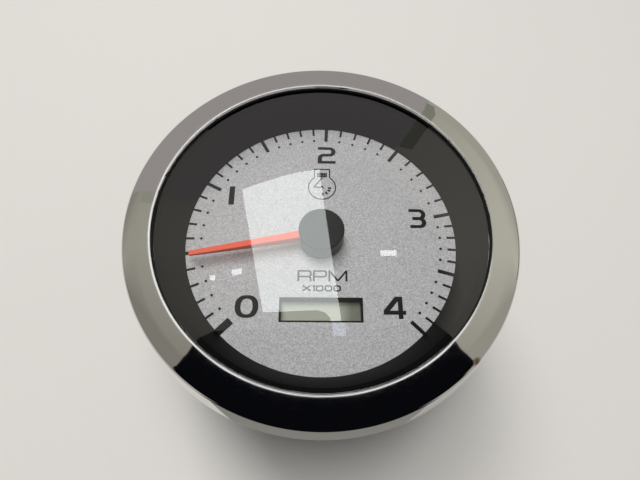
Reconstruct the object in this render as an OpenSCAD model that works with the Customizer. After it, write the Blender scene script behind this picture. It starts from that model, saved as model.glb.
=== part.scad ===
// Panel tachometer with an air-core movement and an hour counter.
// The origin is the centre of the panel's front face, +Z points out of the dial, +Y to 12 o'clock.

/* [Can] */
// Radius of the can that goes through the panel
barrel_r = 42.2; // [40:0.1:45]
// Length of the straight part of the can behind the panel
barrel_len = 24; // [18:0.5:26]
// Depth of the can behind the panel
can_depth = 46; // [44:0.5:56]
// Wall of the can
can_wall = 2.2; // [1.6:0.1:2.6]
// How much narrower the can is at its rear edge
can_taper = 2.2; // [1:0.1:3]
// Radius of the can's rear edge
can_corner_r = 3; // [2.4:0.1:5]
// Thickness of the flange at the can's mouth
flange_t = 1.8; // [1.4:0.1:2.6]
// Gap between the flange's edge and the bezel's inner wall
flange_gap = 0.5; // [0.3:0.05:0.8]
// Width of the step inside the can's mouth
mouth_step = 1.6; // [1.2:0.1:2]
// How far the ring that centres the gasket stands out from the can
spigot_w = 0.8; // [0.6:0.1:1.2]
// Height of the raised pads round the rear studs
pad_h = 0.8; // [0.4:0.1:1.5]
// Thickness of the ribs beside the board posts
rib_t = 1.6; // [1.2:0.1:2]
// Height of the ribs beside the board posts
rib_h = 11; // [6:0.5:12]

/* [Bezel] */
// How far the bezel reaches out past the can
bezel_reach = 9.4; // [8.5:0.1:11]
// Width of the bezel seen from the front, from its edge in to the lip
bezel_w = 9.25; // [8.6:0.05:10.5]
// Radius of the roll that leads from the bezel's face to its corner
roll_r = 9.4; // [8:0.1:11]
// Fall of the bezel's face where the roll meets the corner, in degrees
roll_fall = 20; // [16:0.5:22]
// Radius of the bezel's outer corner
corner_r = 1.3; // [1.1:0.05:1.6]
// Lean of the bezel's side, wider towards the rear, in degrees
side_lean = 10; // [6:0.5:11]
// Thickness of the bezel's sheet metal
sheet_t = 0.7; // [0.5:0.05:0.9]
// Outer radius of the fold at the bezel's rear edge
fold_r = 1; // [0.8:0.05:1.4]
// Width of the rim that is folded in behind the flange
fold_w = 4.1; // [3:0.1:5]
// Radius of the bead along the bezel's lip
bead_r = 0.4; // [0.25:0.05:0.5]
// How far the bead stands above the bezel's face
bead_rise = 0.2; // [0.1:0.05:0.3]

/* [Seals] */
// Thickness of the panel gasket under the folded rim
seat_gasket_t = 1; // [0.6:0.1:2]
// How far the panel gasket's edge lies inside the bezel's edge
seat_gasket_inset = 1.4; // [1:0.1:2.5]
// Thickness of the lens gasket
lens_gasket_t = 0.5; // [0.3:0.05:0.8]
// How far the lens gasket shows inside the lip
lens_gasket_show = 0.35; // [0.1:0.05:0.5]
// Width of the lens gasket
lens_gasket_w = 4; // [3:0.1:4.1]

/* [Lens and shadow ring] */
// Thickness of the lens
lens_t = 2.5; // [1.5:0.1:3]
// Gap between the lens edge and the bezel's inner wall
lens_edge_gap = 4.1; // [3.4:0.1:4.8]
// Height of the shadow ring's skirt above the flange
ring_h = 4.1; // [3:0.1:6]
// Wall of the shadow ring
ring_wall = 1.6; // [1.2:0.1:2]
// Width of the shadow ring's flat land inside the lip
ring_land = 1.5; // [1:0.1:2.5]
// Width of the dial's rim that the shadow ring covers
ring_cover = 2.3; // [1.9:0.1:3]

/* [Dial] */
// Depth of the dial's face below the lens
dial_depth = 9.2; // [8:0.1:12]
// Thickness of the dial plate
dial_t = 0.8; // [0.5:0.05:1.2]
// Gap between the dial's edge and the can's wall
dial_gap = 0.4; // [0.2:0.05:0.6]
// Radius of the dial's centre hole
dial_hole_r = 2.2; // [1.6:0.1:3]
// Thickness of the print
ink_t = 0.08; // [0.05:0.01:0.12]
// How far the marks run on under the shadow ring
mark_lap = 0.4; // [0.1:0.05:0.8]
// Length of a main mark inside the shadow ring
major_len = 4.4; // [3.5:0.1:6]
// Width of a main mark
major_w = 1; // [0.7:0.05:1.3]
// Width of the mark at zero
zero_w = 2.1; // [1.2:0.1:2.4]
// Length of a fine mark inside the shadow ring
minor_len = 2.25; // [1.5:0.05:3]
// Width of a fine mark
minor_w = 0.64; // [0.4:0.02:0.8]
// Distance of the dots from the shadow ring
dot_inset = 4.15; // [3.6:0.05:5]
// Radius of a dot
dot_r = 0.37; // [0.24:0.01:0.4]
// Fine marks from one main mark to the next
minor_steps = 5; // [4:1:6]

/* [Hour counter] */
// Width of the counter's window
window_w = 21.8; // [18:0.1:24]
// Height of the counter's window
window_h = 6.5; // [5.5:0.1:8]
// Gap between the display frame and the movement's shield can
window_clear = 0.7; // [0.5:0.05:1.5]
// Wall of the collar that lines the window
collar_wall = 0.35; // [0.25:0.05:0.8]
// Depth of the display glass below the dial's face
glass_drop = 2.8; // [1.2:0.1:3.4]
// Thickness of the display glass
glass_t = 2.2; // [1.8:0.1:3]
// How far the display glass reaches past the window's ends
glass_lap = 2.1; // [1.2:0.1:2.5]
// How far the display glass reaches above and below the window
glass_rise = 1.4; // [1:0.1:1.6]
// Side wall of the display frame
frame_wall = 1.4; // [1:0.1:1.8]
// Width of a contact strip
strip_w = 1.8; // [1:0.1:2.4]
// How far a contact strip stops short of the glass's end
strip_inset = 1; // [0.5:0.1:2]

/* [Pointer] */
// Angle of the parked pointer, clockwise from 12 o'clock
pointer_angle = -100.4; // [-135:0.1:135]
// Gap between the pointer's tip and the shadow ring
tip_gap = 1.8; // [0.4:0.1:4]
// Width of the pointer's flat top at the cap
pointer_w = 2.1; // [1.4:0.1:3]
// Width of the pointer's flat top at its tip
tip_w = 1.2; // [0.6:0.1:1.6]
// Height of the pointer's sides at the cap
pointer_h = 2.8; // [1.2:0.1:3]
// Height of the pointer's sides at its tip
tip_h = 0.7; // [0.4:0.1:1]
// Lean of the pointer's sides
pointer_draft = 5; // [1:1:12]
// Height of the pointer's top above the dial
pointer_lift = 5.6; // [4.4:0.1:5.7]
// How much lower the pointer's top is at its tip
pointer_fall = 1.1; // [0:0.1:2]
// Radius of the pointer's hub
hub_r = 3.2; // [2.4:0.1:3.8]
// Thickness of the hub over the spindle's end
hub_roof_t = 1; // [0.6:0.1:1.4]
// How far the blade runs into the hub
blade_lap = 0.6; // [0.4:0.05:1]
// Radius of the cap
cap_r = 6.14; // [5:0.02:7.5]
// Height of the cap
cap_h = 6.1; // [6:0.05:6.8]
// Gap between the cap and the dial
cap_gap = 0.5; // [0.4:0.05:0.9]
// Wall of the cap
cap_wall = 0.8; // [0.6:0.05:0.9]
// Radius of the cap's top edge
cap_edge_r = 0.5; // [0.2:0.05:0.8]
// Depth of the recess under the cap
cap_recess = 0.5; // [0.2:0.05:1]

/* [Movement] */
// Height of the light box from the board to the dial
light_box_h = 17.6; // [17.2:0.1:22]
// Wall of the light box
light_box_wall = 1.6; // [1.2:0.1:2]
// Thickness of the light box's floor
box_floor_t = 1.5; // [1:0.1:2]
// Gap between the light box and the can's wall
box_gap = 0.3; // [0.2:0.05:0.5]
// Room round the parts that pass through the light box's floor
box_room = 0.3; // [0.2:0.05:0.5]
// Radius of the pegs that hold the dial
peg_r = 0.6; // [0.5:0.05:0.8]
// Radius of the tower that carries the dial's centre
tower_r = 3.2; // [2.6:0.1:4]
// Radius of the spindle
spindle_r = 0.75; // [0.6:0.01:0.8]
// Radial running clearance of the spindle
spindle_play = 0.04; // [0.02:0.01:0.06]
// Wall of the bearing bushes
bush_wall = 0.5; // [0.35:0.05:0.6]
// Radius of the rotor magnet
magnet_r = 5.6; // [4.5:0.1:5.8]
// Thickness of the rotor magnet
magnet_t = 3.4; // [2.4:0.1:3.6]
// Gap round the rotor magnet
magnet_gap = 0.6; // [0.4:0.05:0.8]
// Wall of the bobbin round the magnet
bobbin_wall = 1.2; // [1:0.05:1.4]
// Thickness of a coil winding
coil_t = 1.1; // [0.8:0.05:1.2]
// Half the gap between a coil's two bundles
coil_split = 2; // [1.85:0.05:2.2]
// Width of one coil bundle
coil_w = 3; // [2.4:0.1:3.2]
// Thickness of the bobbin's end plates
plate_t = 0.8; // [0.6:0.05:1]
// Wall of the shield can
shield_t = 0.8; // [0.5:0.05:1]
// Radius of the shield can
shield_r = 13.4; // [13.2:0.1:13.6]

/* [Circuit board] */
// Thickness of the board
board_t = 1.6; // [1:0.1:2]
// Gap between the board's edge and the can's wall
board_gap = 0.9; // [0.5:0.1:1.4]
// Distance of the board's posts from the axis along X and Y
post_at = 24; // [23.6:0.1:24.6]
// Radius of a board post
post_r = 3; // [2.4:0.1:3.2]
// Radius of a board screw's shank
screw_r = 1.25; // [1:0.05:1.4]
// Radius of a board screw's head
screw_head_r = 2.7; // [2.2:0.1:3]
// Height of a board screw's head
screw_head_h = 1.6; // [1:0.1:2]
// How far a board screw reaches into its post
screw_len = 6; // [4:0.5:10]
// Room round a screw in the board
screw_room = 0.2; // [0.1:0.05:0.4]
// Length of the driver chip
chip_w = 10.3; // [8:0.1:14]
// Width of the driver chip
chip_d = 7.5; // [5:0.1:9]
// Height of the driver chip
chip_h = 2.4; // [1.6:0.1:3]
// Distance between the driver chip's leads
lead_pitch = 1.27; // [1.2:0.01:1.4]
// Leads on each side of the driver chip
leads_per_side = 7; // [4:1:7]
// Width of a chip lead
lead_w = 0.4; // [0.3:0.05:0.5]
// How far a chip lead reaches out
lead_reach = 1; // [0.8:0.1:1.4]
// Height of the tall capacitors
capacitor_h = 12; // [8:0.5:15]
// Radius of the tall capacitors
capacitor_r = 4; // [3:0.1:4.5]
// Distance of the capacitors from the axis along X
capacitor_x = 14; // [12:0.5:16]
// Distance of the capacitors from the axis along Y
capacitor_y = 6; // [5:0.5:8]
// Depth of the groove round a capacitor
capacitor_groove = 0.4; // [0.2:0.05:0.6]
// Distance of the regulator from the axis
regulator_x = 14; // [12:0.5:16]
// Width of the regulator
regulator_w = 10; // [8:0.1:11]
// Thickness of the regulator
regulator_t = 4.5; // [4:0.1:5]
// Height of the regulator's body
regulator_h = 9; // [7:0.1:10]
// Length of the regulator's leads
regulator_lead = 3; // [2:0.1:5]
// Distance between the regulator's leads
regulator_pitch = 2.54; // [2.4:0.02:2.7]
// Height of the regulator's cooling tab
tab_h = 6; // [5:0.1:7]
// Thickness of the regulator's cooling tab
tab_t = 1.3; // [1:0.1:1.6]
// Radius of the hole in the cooling tab
tab_hole_r = 1.8; // [1.4:0.1:2]

/* [Studs and terminals] */
// Length of the studs behind the can
stud_reach = 21.5; // [20:0.5:28]
// Radius of a mounting stud's thread
stud_r = 2.41; // [2:0.01:2.6]
// Distance of a mounting stud from the axis
stud_at = 24; // [22:0.1:26]
// How far a mounting stud's head reaches past its thread
stud_head_w = 2; // [1.6:0.1:3]
// Thickness of a mounting stud's head
stud_head_t = 1.8; // [1.2:0.1:2.4]
// Width of the pad round a mounting stud
stud_pad_w = 4.1; // [3:0.1:5]
// Radius of a terminal stud's thread
terminal_r = 2.08; // [1.8:0.01:2.2]
// Distance of the terminals from the axis along X
terminal_x = 19; // [18:0.1:20]
// Distance of the terminals from the axis along Y
terminal_y = 18; // [17.4:0.1:18.6]
// Width of a terminal nut across its flats
nut_flats = 7.6; // [7:0.1:8.4]
// Height of a terminal nut
nut_h = 3.2; // [2.4:0.1:4]
// Thickness of a terminal washer
washer_t = 0.8; // [0.5:0.1:1.2]
// Width of a terminal washer
washer_w = 2.1; // [1.6:0.1:2.6]
// How far a terminal's pad reaches past its nut
pad_margin = 1.1; // [0.6:0.1:1.6]
// Depth of the thread on a terminal stud
thread_depth = 0.1; // [0.05:0.01:0.15]
// How far a terminal stud's head reaches past its thread
terminal_head_w = 1.2; // [0.8:0.1:2]
// Thickness of a terminal stud's head
terminal_head_t = 1.4; // [1:0.1:2]
// Radius of the pin from a terminal stud to the board
pin_r = 0.8; // [0.5:0.05:1]

/* [Clamp] */
// Thickness of the bracket's strap
strap_t = 1.5; // [1.2:0.1:2]
// Width of the bracket's strap
strap_w = 14; // [11:0.5:16]
// Gap between the bracket's legs and the can
leg_gap = 1.5; // [1:0.1:3]
// Length of the bracket's feet along the panel
foot_len = 4.4; // [3:0.1:5]
// Inner radius of the bracket's bends
bend_r = 1.5; // [1:0.1:2.5]
// Thickness of the thinnest panel that the bracket clamps
panel_min = 1.5; // [1:0.1:3]
// Radial gap between a stud and its hole in the strap
strap_play = 0.4; // [0.3:0.05:0.8]
// Radius of a thumb nut
thumb_r = 6; // [5:0.1:6.8]
// Height of a thumb nut
thumb_h = 5; // [4:0.1:6]
// Length of stud that shows behind a backed-off thumb nut
thumb_inset = 1; // [0.6:0.1:2]
// Radial clearance between a thumb nut and its stud
thread_play = 0.05; // [0.03:0.01:0.08]
// Grooves round a thumb nut
grip_count = 20; // [16:1:26]
// Radius of a groove
groove_r = 0.55; // [0.4:0.05:0.65]
// How far the middle of a groove lies outside the rim
groove_out = 0.15; // [0.1:0.05:0.3]
// How far a thumb nut's collar lies inside its rim
collar_inset = 1.4; // [0.8:0.1:2]
// Height of a thumb nut's collar
collar_h = 0.8; // [0.4:0.1:1.2]

/* [Lamp and calibrator] */
// Width of the floor between the lamp and the movement's shield can
lamp_web = 1.3; // [0.8:0.1:2]
// Radius of the lamp holder's barrel
holder_r = 7; // [6.6:0.05:7.1]
// Radial clearance of the lamp holder in the can
holder_play = 0.06; // [0.03:0.01:0.08]
// How far the lamp holder's flange reaches past its barrel
holder_flange_w = 1.8; // [1.4:0.1:2.4]
// Thickness of the lamp holder's flange
holder_flange_t = 2; // [1.4:0.1:2.5]
// How far the lamp holder reaches into the can
holder_depth = 7; // [5:0.5:10]
// Length of the finger grip
grip_len = 9; // [7:0.5:10]
// Radius of the finger grip's core
grip_r = 5.6; // [5:0.1:6.2]
// Span of the finger grip's wings
wing_span = 15; // [13:0.5:16]
// Thickness of the finger grip's wings
wing_t = 1.6; // [1.2:0.1:2]
// How far the wings stop short of the grip's end
wing_inset = 1.5; // [1:0.1:3]
// How far the twist lugs reach past the barrel
lug_w = 1.7; // [1.2:0.1:2]
// Thickness of the twist lugs
lug_t = 2.1; // [1.6:0.1:3]
// Angle that each twist lug spans
lug_angle = 34; // [24:1:40]
// Turn from the locked lug to its notch
lug_turn = 60; // [50:1:80]
// Angle by which a notch is wider than its lug
lug_slack = 6; // [4:1:10]
// Gap between a lug's end and its notch
lug_room = 0.3; // [0.2:0.05:0.5]
// Radius of the lamp's glass
bulb_r = 5.1; // [4.6:0.1:5.2]
// Length of the lamp from its base to its tip
bulb_len = 29; // [26:0.5:30]
// How deep the lamp's base sits below the can's floor
bulb_sink = 1; // [0.5:0.1:1.5]
// How much narrower the lamp's base is
base_inset = 0.3; // [0.1:0.05:0.5]
// Length of the lamp's base
base_len = 9; // [8:0.5:12]
// Height of the taper from the lamp's base to its glass
base_taper = 1.5; // [1:0.1:2.5]
// Width of a contact blade
blade_w = 6.3; // [5:0.1:7]
// Thickness of a contact blade
blade_t = 0.8; // [0.5:0.1:1]
// Length of a contact blade
blade_len = 7; // [5:0.5:9]
// Distance of a contact blade from the lamp's axis
blade_at = 2.6; // [2:0.1:3.4]
// Distance of the calibrator from the axis
calibrator_at = 22; // [21.6:0.1:22.4]
// Radius of the calibrator's head
calibrator_r = 3.5; // [3:0.05:3.8]
// Radius of the calibrator's shaft
calibrator_shaft_r = 1.5; // [1.2:0.05:1.7]
// How far the calibrator's head stands out of the can
calibrator_rise = 1; // [0.5:0.1:1.4]
// How far the collar behind the calibrator's head reaches past it
calibrator_collar_w = 1; // [0.8:0.1:1.4]
// Thickness of that collar
calibrator_collar_t = 1; // [0.8:0.1:1.6]
// Width of the screwdriver slot
slot_w = 1; // [0.8:0.05:1.2]
// Depth of the screwdriver slot
slot_depth = 1.4; // [1:0.1:2]
// Width of the trimmer on the board
trimmer_w = 9.5; // [8:0.1:11]
// Height of the trimmer on the board
trimmer_h = 7; // [5:0.1:9]

/* [Hidden] */

// Angle of each main mark, clockwise from 12 o'clock. The movement isn't linear, so the marks
// are spaced as the pointer really swings.
major_angles = [-135, -97.3, -62.2, -29.1, 2.5, 38, 77.4, 106.2, 135];

// Clearance between parts that seat against each other or turn face to face
seat_gap = 0.1;
// Clearance of a part pressed over another
press_gap = 0.05;
// Air between the print and the shadow ring's foot
ink_gap = 0.02;
// Chamfers of turned and moulded edges
chamfer = 0.5;
fine_chamfer = 0.2;
// How far one solid sinks into the next
eps = 0.01;
// How far a cut runs on past a face
cut = 1;
// Facets of large and of small rounds
round_fn = 96;
small_fn = 48;
groove_fn = 16;
dot_fn = 24;

// Levels, from the panel's face outwards
rim_top = seat_gasket_t + sheet_t;
flange_top = rim_top + flange_t;
ring_top = flange_top + ring_h;
lens_top = ring_top + lens_t;
gasket_top = lens_top + lens_gasket_t;
face_top = gasket_top + sheet_t;
dial_z = ring_top - dial_depth;
dial_back = dial_z - dial_t;

// Levels, from the dial inwards
board_top = dial_back - light_box_h;
board_back = board_top - board_t;
can_back = -can_depth;
floor_top = can_back + can_wall;
pad_back = can_back - pad_h;
stud_tip = can_back - stud_reach;

// Radii
bezel_r = barrel_r + bezel_reach;
lip_r = bezel_r - bezel_w;
fold_at = [bezel_r - fold_r, seat_gasket_t + fold_r];
corner_z = face_top - roll_r + (roll_r - corner_r) * cos(roll_fall);
side_len = (corner_z - fold_at[1] - (fold_r - corner_r) * sin(side_lean)) / cos(side_lean);
corner_x = fold_at[0] + (fold_r - corner_r) * cos(side_lean) - side_len * sin(side_lean);
roll_at = [corner_x - (roll_r - corner_r) * sin(roll_fall), face_top - roll_r];
side_inset = (flange_top - fold_at[1]) * tan(side_lean) + sheet_t * (1 / cos(side_lean) - 1);
flange_r = bezel_r - sheet_t - side_inset - flange_gap;
lens_r = bezel_r - sheet_t - lens_edge_gap;
can_inner_r = barrel_r - can_wall;
dial_r = can_inner_r - dial_gap;
view_r = dial_r - ring_cover;
peg_at = dial_r - ring_cover / 2;
light_box_r = can_inner_r - box_gap;
board_r = can_inner_r - board_gap;
rear_r = barrel_r - can_taper;

// Movement, built up from the board to the dial
shield_floor = board_top + shield_t;
outer_coil_low = shield_floor + plate_t + seat_gap;
inner_coil_low = outer_coil_low + coil_t + seat_gap;
core_low = inner_coil_low + coil_t + seat_gap;
cavity_low = core_low + bobbin_wall;
cavity_h = magnet_t + 2 * magnet_gap;
cavity_mid = cavity_low + cavity_h / 2;
core_high = cavity_low + cavity_h + bobbin_wall;
inner_coil_high = core_high + seat_gap + coil_t;
outer_coil_high = inner_coil_high + seat_gap + coil_t;
plate_high = outer_coil_high + seat_gap + plate_t;
core_r = magnet_r + magnet_gap + bobbin_wall;
inner_coil_x = core_r + seat_gap;
outer_coil_y = inner_coil_x + coil_t + seat_gap;
post_in = coil_split + coil_w + seat_gap;
bobbin_r = shield_r - shield_t - seat_gap;
bush_r = spindle_r + spindle_play + bush_wall;
boss_r = coil_split - seat_gap;
spindle_low = outer_coil_low;

// Hour counter, next to the movement
glass_w = window_w + 2 * glass_lap;
glass_h = window_h + 2 * glass_rise;
frame_w = glass_w + 2 * seat_gap + 2 * frame_wall;
frame_h = glass_h + 2 * seat_gap + 2 * frame_wall;
glass_top = dial_z - glass_drop;
glass_low = glass_top - glass_t;
window_drop = shield_r + window_clear + frame_h / 2;

// Pointer
hub_low = dial_z + cap_gap;
blade_top = dial_z + pointer_lift;
cap_top = hub_low + cap_h;
hub_top = cap_top - cap_wall - seat_gap;
spindle_top = hub_top - hub_roof_t;

// Lamp and calibrator
lamp_at = shield_r + box_room + lamp_web + holder_r;
holder_front = can_back - seat_gap;
holder_back = holder_front - holder_flange_t;
grip_back = holder_back - grip_len;
holder_mouth = floor_top + holder_depth;
bulb_base = floor_top - bulb_sink;
bulb_base_r = bulb_r - base_inset;
socket_low = board_back - trimmer_h / 2;

// Clamp: the bracket is drawn backed off, with its nuts near the ends of the studs
thumb_back = stud_tip + thumb_inset;
strap_back = thumb_back + thumb_h;
strap_front = strap_back + strap_t;
clamp_travel = pad_back - 2 * seat_gap - strap_front;
foot_front = -panel_min - clamp_travel;
leg_x = barrel_r + leg_gap;

// Terminals
neck_r = terminal_r - thread_depth;
washer_back = pad_back - washer_t;
nut_back = washer_back - nut_h;
nut_r = nut_flats / 2 / cos(30);
terminal_pad_r = nut_r + pad_margin;
stud_pad_r = stud_r + stud_pad_w;

// Points along an arc round c, from angle a to angle b
function arc(c, r, a, b, n) = [
    for (i = [0:n]) let (t = a + (b - a) * i / n) c + r * [cos(t), sin(t)]
];

// A solid of revolution about Z from an outline of [radius, height] points
module turned(points, fn = round_fn) {
    rotate_extrude($fn = fn) polygon(points);
}

// A ring with a rectangular section
module ring(inner, outer, low, high, fn = round_fn) {
    turned([[inner, low], [outer, low], [outer, high], [inner, high]], fn);
}

// A rod from one level to another
module rod(r, low, high, fn = small_fn) {
    translate([0, 0, low]) cylinder(r = r, h = high - low, $fn = fn);
}

// A block centred in X and Y
module block(w, d, low, high) {
    translate([-w / 2, -d / 2, low]) cube([w, d, high - low]);
}

// Copies at the four corners of a rectangle
module at_corners(x, y) {
    for (sx = [-1, 1], sy = [-1, 1]) translate([sx * x, sy * y, 0]) children();
}

// Copies at both mounting studs
module at_studs() {
    for (s = [-1, 1]) translate([s * stud_at, 0, 0]) children();
}

module at_lamp() {
    translate([0, lamp_at, 0]) children();
}

module at_calibrator() {
    translate([0, -calibrator_at, 0]) children();
}

module at_window() {
    translate([0, -window_drop, 0]) children();
}

// Bezel: one rolled ring with a beaded lip, a face that rolls off to the corner, a leaning side and a rim
// folded in behind the flange
module bezel() {
    bead_c = [lip_r + bead_r, face_top + bead_rise - bead_r];
    bead_end = asin((bead_r - bead_rise) / bead_r);
    corner_c = [corner_x, corner_z];
    rim_r = bezel_r - sheet_t - fold_w + fold_r;
    roll_end = 90 - roll_fall;
    color([0.72, 0.72, 0.71])
        turned(concat(
            [[lip_r, gasket_top]],
            arc(bead_c, bead_r, 180, bead_end, 8),
            arc(roll_at, roll_r, 90, roll_end, 10),
            arc(corner_c, corner_r, roll_end, side_lean, 8),
            arc(fold_at, fold_r, side_lean, -90, 6),
            [[rim_r, seat_gasket_t], [rim_r, rim_top]],
            arc(fold_at, fold_r - sheet_t, -90, side_lean, 4),
            arc(corner_c, corner_r - sheet_t, side_lean, roll_end, 6),
            arc(roll_at, roll_r - sheet_t, roll_end, 90, 8)
        ), 180);
}

// Black gasket between the lip and the lens
module lens_gasket() {
    inner = lip_r - lens_gasket_show;
    color([0.05, 0.05, 0.05]) ring(inner, inner + lens_gasket_w, lens_top, gasket_top);
}

module lens() {
    color([0.85, 0.9, 0.92, 0.25]) rod(lens_r, ring_top, lens_top, round_fn);
}

// Black conical ring that frames the dial. It stands on the flange and holds the dial's rim down
module shadow_ring() {
    land_r = lip_r - ring_land;
    foot_z = dial_z + ink_t + ink_gap;
    color([0.12, 0.12, 0.12])
        turned([
            [view_r, foot_z],
            [view_r + ring_wall, foot_z],
            [land_r + ring_wall, ring_top - ring_wall],
            [lens_r - ring_wall, ring_top - ring_wall],
            [lens_r - ring_wall, flange_top],
            [lens_r, flange_top],
            [lens_r, ring_top],
            [land_r + fine_chamfer, ring_top],
            [land_r, ring_top - fine_chamfer]
        ]);
}

// Silver dial with its centre hole, the counter's window and two holes for the light box's pegs
module dial_plate() {
    color([0.68, 0.68, 0.66])
        difference() {
            rod(dial_r, dial_back, dial_z, round_fn);
            rod(dial_hole_r, dial_back - cut, dial_z + cut);
            at_window()
                block(window_w + 2 * seat_gap, window_h + 2 * seat_gap, dial_back - cut, dial_z + cut);
            for (s = [-1, 1]) translate([s * peg_at, 0, 0])
                rod(peg_r + seat_gap, dial_back - cut, dial_z + cut);
        }
}

// Printed marks: a line at each tenth, a dot inside each fine line
module scale_print() {
    last = len(major_angles) - 1;
    outer = view_r + mark_lap;
    color([0.16, 0.16, 0.16])
        translate([0, 0, dial_z]) {
            for (i = [0:last])
                mark(major_angles[i], view_r - major_len, outer, i == 0 ? zero_w : major_w);
            for (i = [0:last - 1], k = [1:minor_steps - 1]) {
                a = major_angles[i] + (major_angles[i + 1] - major_angles[i]) * k / minor_steps;
                mark(a, view_r - minor_len, outer, minor_w);
                rotate([0, 0, -a]) translate([0, view_r - dot_inset, 0]) rod(dot_r, 0, ink_t, dot_fn);
            }
        }
}

// One printed line that points at the centre
module mark(angle, inner, outer, w) {
    rotate([0, 0, -angle]) translate([-w / 2, inner, 0]) cube([w, outer - inner, ink_t]);
}

// Black frame that holds the display over the board. Its collar lines the dial's window
module lcd_frame() {
    color([0.08, 0.08, 0.08])
        at_window() difference() {
            union() {
                block(frame_w, frame_h, board_top, dial_back);
                block(window_w, window_h, dial_back - eps, dial_z);
            }
            block(glass_w + 2 * seat_gap, glass_h + 2 * seat_gap, board_top - cut, glass_top);
            block(window_w - 2 * collar_wall, window_h - 2 * collar_wall, glass_top - cut, dial_z + cut);
        }
}

module lcd_panel() {
    color([0.6, 0.63, 0.55]) at_window() block(glass_w, glass_h, glass_low, glass_top);
}

// Two rubber strips that join the display to the board
module lcd_strips() {
    color([0.75, 0.35, 0.4])
        at_window() for (s = [-1, 1])
            translate([0, s * (glass_h - strip_w) / 2, 0])
                block(glass_w - 2 * strip_inset, strip_w, board_top, glass_low);
}

// Pointer: a hub and a flat-topped blade that tapers to its tip
module pointer() {
    root = hub_r - blade_lap;
    tip = view_r - tip_gap;
    tip_top = blade_top - pointer_fall;
    lean = tan(pointer_draft);
    color([0.88, 0.3, 0.2])
        rotate([0, 0, -pointer_angle]) {
            difference() {
                rod(hub_r, hub_low + seat_gap, hub_top);
                rod(spindle_r, hub_low - cut, spindle_top);
            }
            polyhedron(
                points = concat(
                    blade_section(root, pointer_w, pointer_h, blade_top, lean),
                    blade_section(tip, tip_w, tip_h, tip_top, lean)
                ),
                faces = [[0, 3, 2, 1], [4, 5, 6, 7], [0, 1, 5, 4], [1, 2, 6, 5], [2, 3, 7, 6], [3, 0, 4, 7]]
            );
        }
}

// Corners of the blade's section: its underside, then its top
function blade_section(at, w, h, top, lean) = [
    [-w / 2 - h * lean, at, top - h], [w / 2 + h * lean, at, top - h],
    [w / 2, at, top], [-w / 2, at, top]
];

// Cap over the hub, with a slot for the blade
module pointer_cap() {
    edge_c = [cap_r - cap_edge_r, cap_top - cap_edge_r];
    bore = hub_r + press_gap;
    slot_top = blade_top + seat_gap;
    slot_half = pointer_w / 2 + pointer_h * tan(pointer_draft) + seat_gap;
    color([0.13, 0.14, 0.14])
        rotate([0, 0, -pointer_angle]) difference() {
            turned(concat(
                [[bore, hub_low], [cap_r, hub_low]],
                arc(edge_c, cap_edge_r, 0, 90, 6),
                [[0, cap_top], [0, cap_top - cap_wall], [bore, cap_top - cap_wall]]
            ));
            translate([-slot_half, 0, hub_low - cut])
                cube([2 * slot_half, cap_r + cut, slot_top - hub_low + cut]);
            ring(bore - cut, cap_r - cap_wall, hub_low - cut, hub_low + cap_recess);
        }
}

module spindle() {
    color([0.7, 0.7, 0.7])
        turned([
            [0, spindle_low], [spindle_r - fine_chamfer, spindle_low],
            [spindle_r, spindle_low + fine_chamfer], [spindle_r, spindle_top], [0, spindle_top]
        ], small_fn);
}

// Disc magnet on the spindle
module rotor_magnet() {
    color([0.25, 0.24, 0.24])
        ring(spindle_r, magnet_r, cavity_mid - magnet_t / 2, cavity_mid + magnet_t / 2, small_fn);
}

// Four posts between the coil bundles
module bobbin_posts(low, high) {
    intersection() {
        rod(bobbin_r, low, high, round_fn);
        at_corners(post_in + bobbin_r / 2, post_in + bobbin_r / 2) block(bobbin_r, bobbin_r, low, high);
    }
}

// Front half of the coil former, with the tower that carries the dial's centre
module bobbin_front() {
    color([0.85, 0.84, 0.8])
        difference() {
            union() {
                rod(core_r, cavity_mid, core_high, round_fn);
                bobbin_posts(cavity_mid, plate_high);
                rod(boss_r, core_high - eps, plate_high);
                rod(bobbin_r, plate_high - plate_t, plate_high, round_fn);
                rod(tower_r, plate_high - eps, dial_back);
            }
            rod(magnet_r + magnet_gap, cavity_mid - cut, core_high - bobbin_wall);
            rod(bush_r, cavity_mid, dial_back + cut);
        }
}

// Rear half of the coil former
module bobbin_rear() {
    color([0.85, 0.84, 0.8])
        difference() {
            union() {
                rod(core_r, core_low, cavity_mid, round_fn);
                bobbin_posts(shield_floor, cavity_mid);
                rod(boss_r, shield_floor, core_low + eps);
                rod(bobbin_r, shield_floor, shield_floor + plate_t, round_fn);
            }
            rod(magnet_r + magnet_gap, cavity_low, cavity_mid + cut);
            rod(bush_r, shield_floor + plate_t / 2, cavity_mid);
        }
}

// Both bundles of one coil: rectangular loops that pass each side of the spindle
module coil(half_w, low, high) {
    for (s = [-1, 1])
        translate([0, s * (coil_split + coil_w / 2), 0]) difference() {
            block(2 * (half_w + coil_t), coil_w, low, high);
            block(2 * half_w, coil_w + cut, low + coil_t, high - coil_t);
        }
}

module coil_inner() {
    color([0.72, 0.38, 0.2]) coil(inner_coil_x, inner_coil_low, inner_coil_high);
}

module coil_outer() {
    color([0.65, 0.3, 0.15]) rotate([0, 0, 90]) coil(outer_coil_y, outer_coil_low, outer_coil_high);
}

module front_bush() {
    color([0.8, 0.62, 0.3])
        ring(spindle_r + spindle_play, bush_r, core_high - bobbin_wall, dial_back, small_fn);
}

// Blind bush that takes the spindle's end
module rear_bush() {
    base = shield_floor + plate_t / 2;
    color([0.8, 0.62, 0.3])
        turned([
            [0, base], [bush_r, base], [bush_r, cavity_low], [spindle_r + spindle_play, cavity_low],
            [spindle_r + spindle_play, spindle_low - press_gap], [0, spindle_low - press_gap]
        ], small_fn);
}

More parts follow.
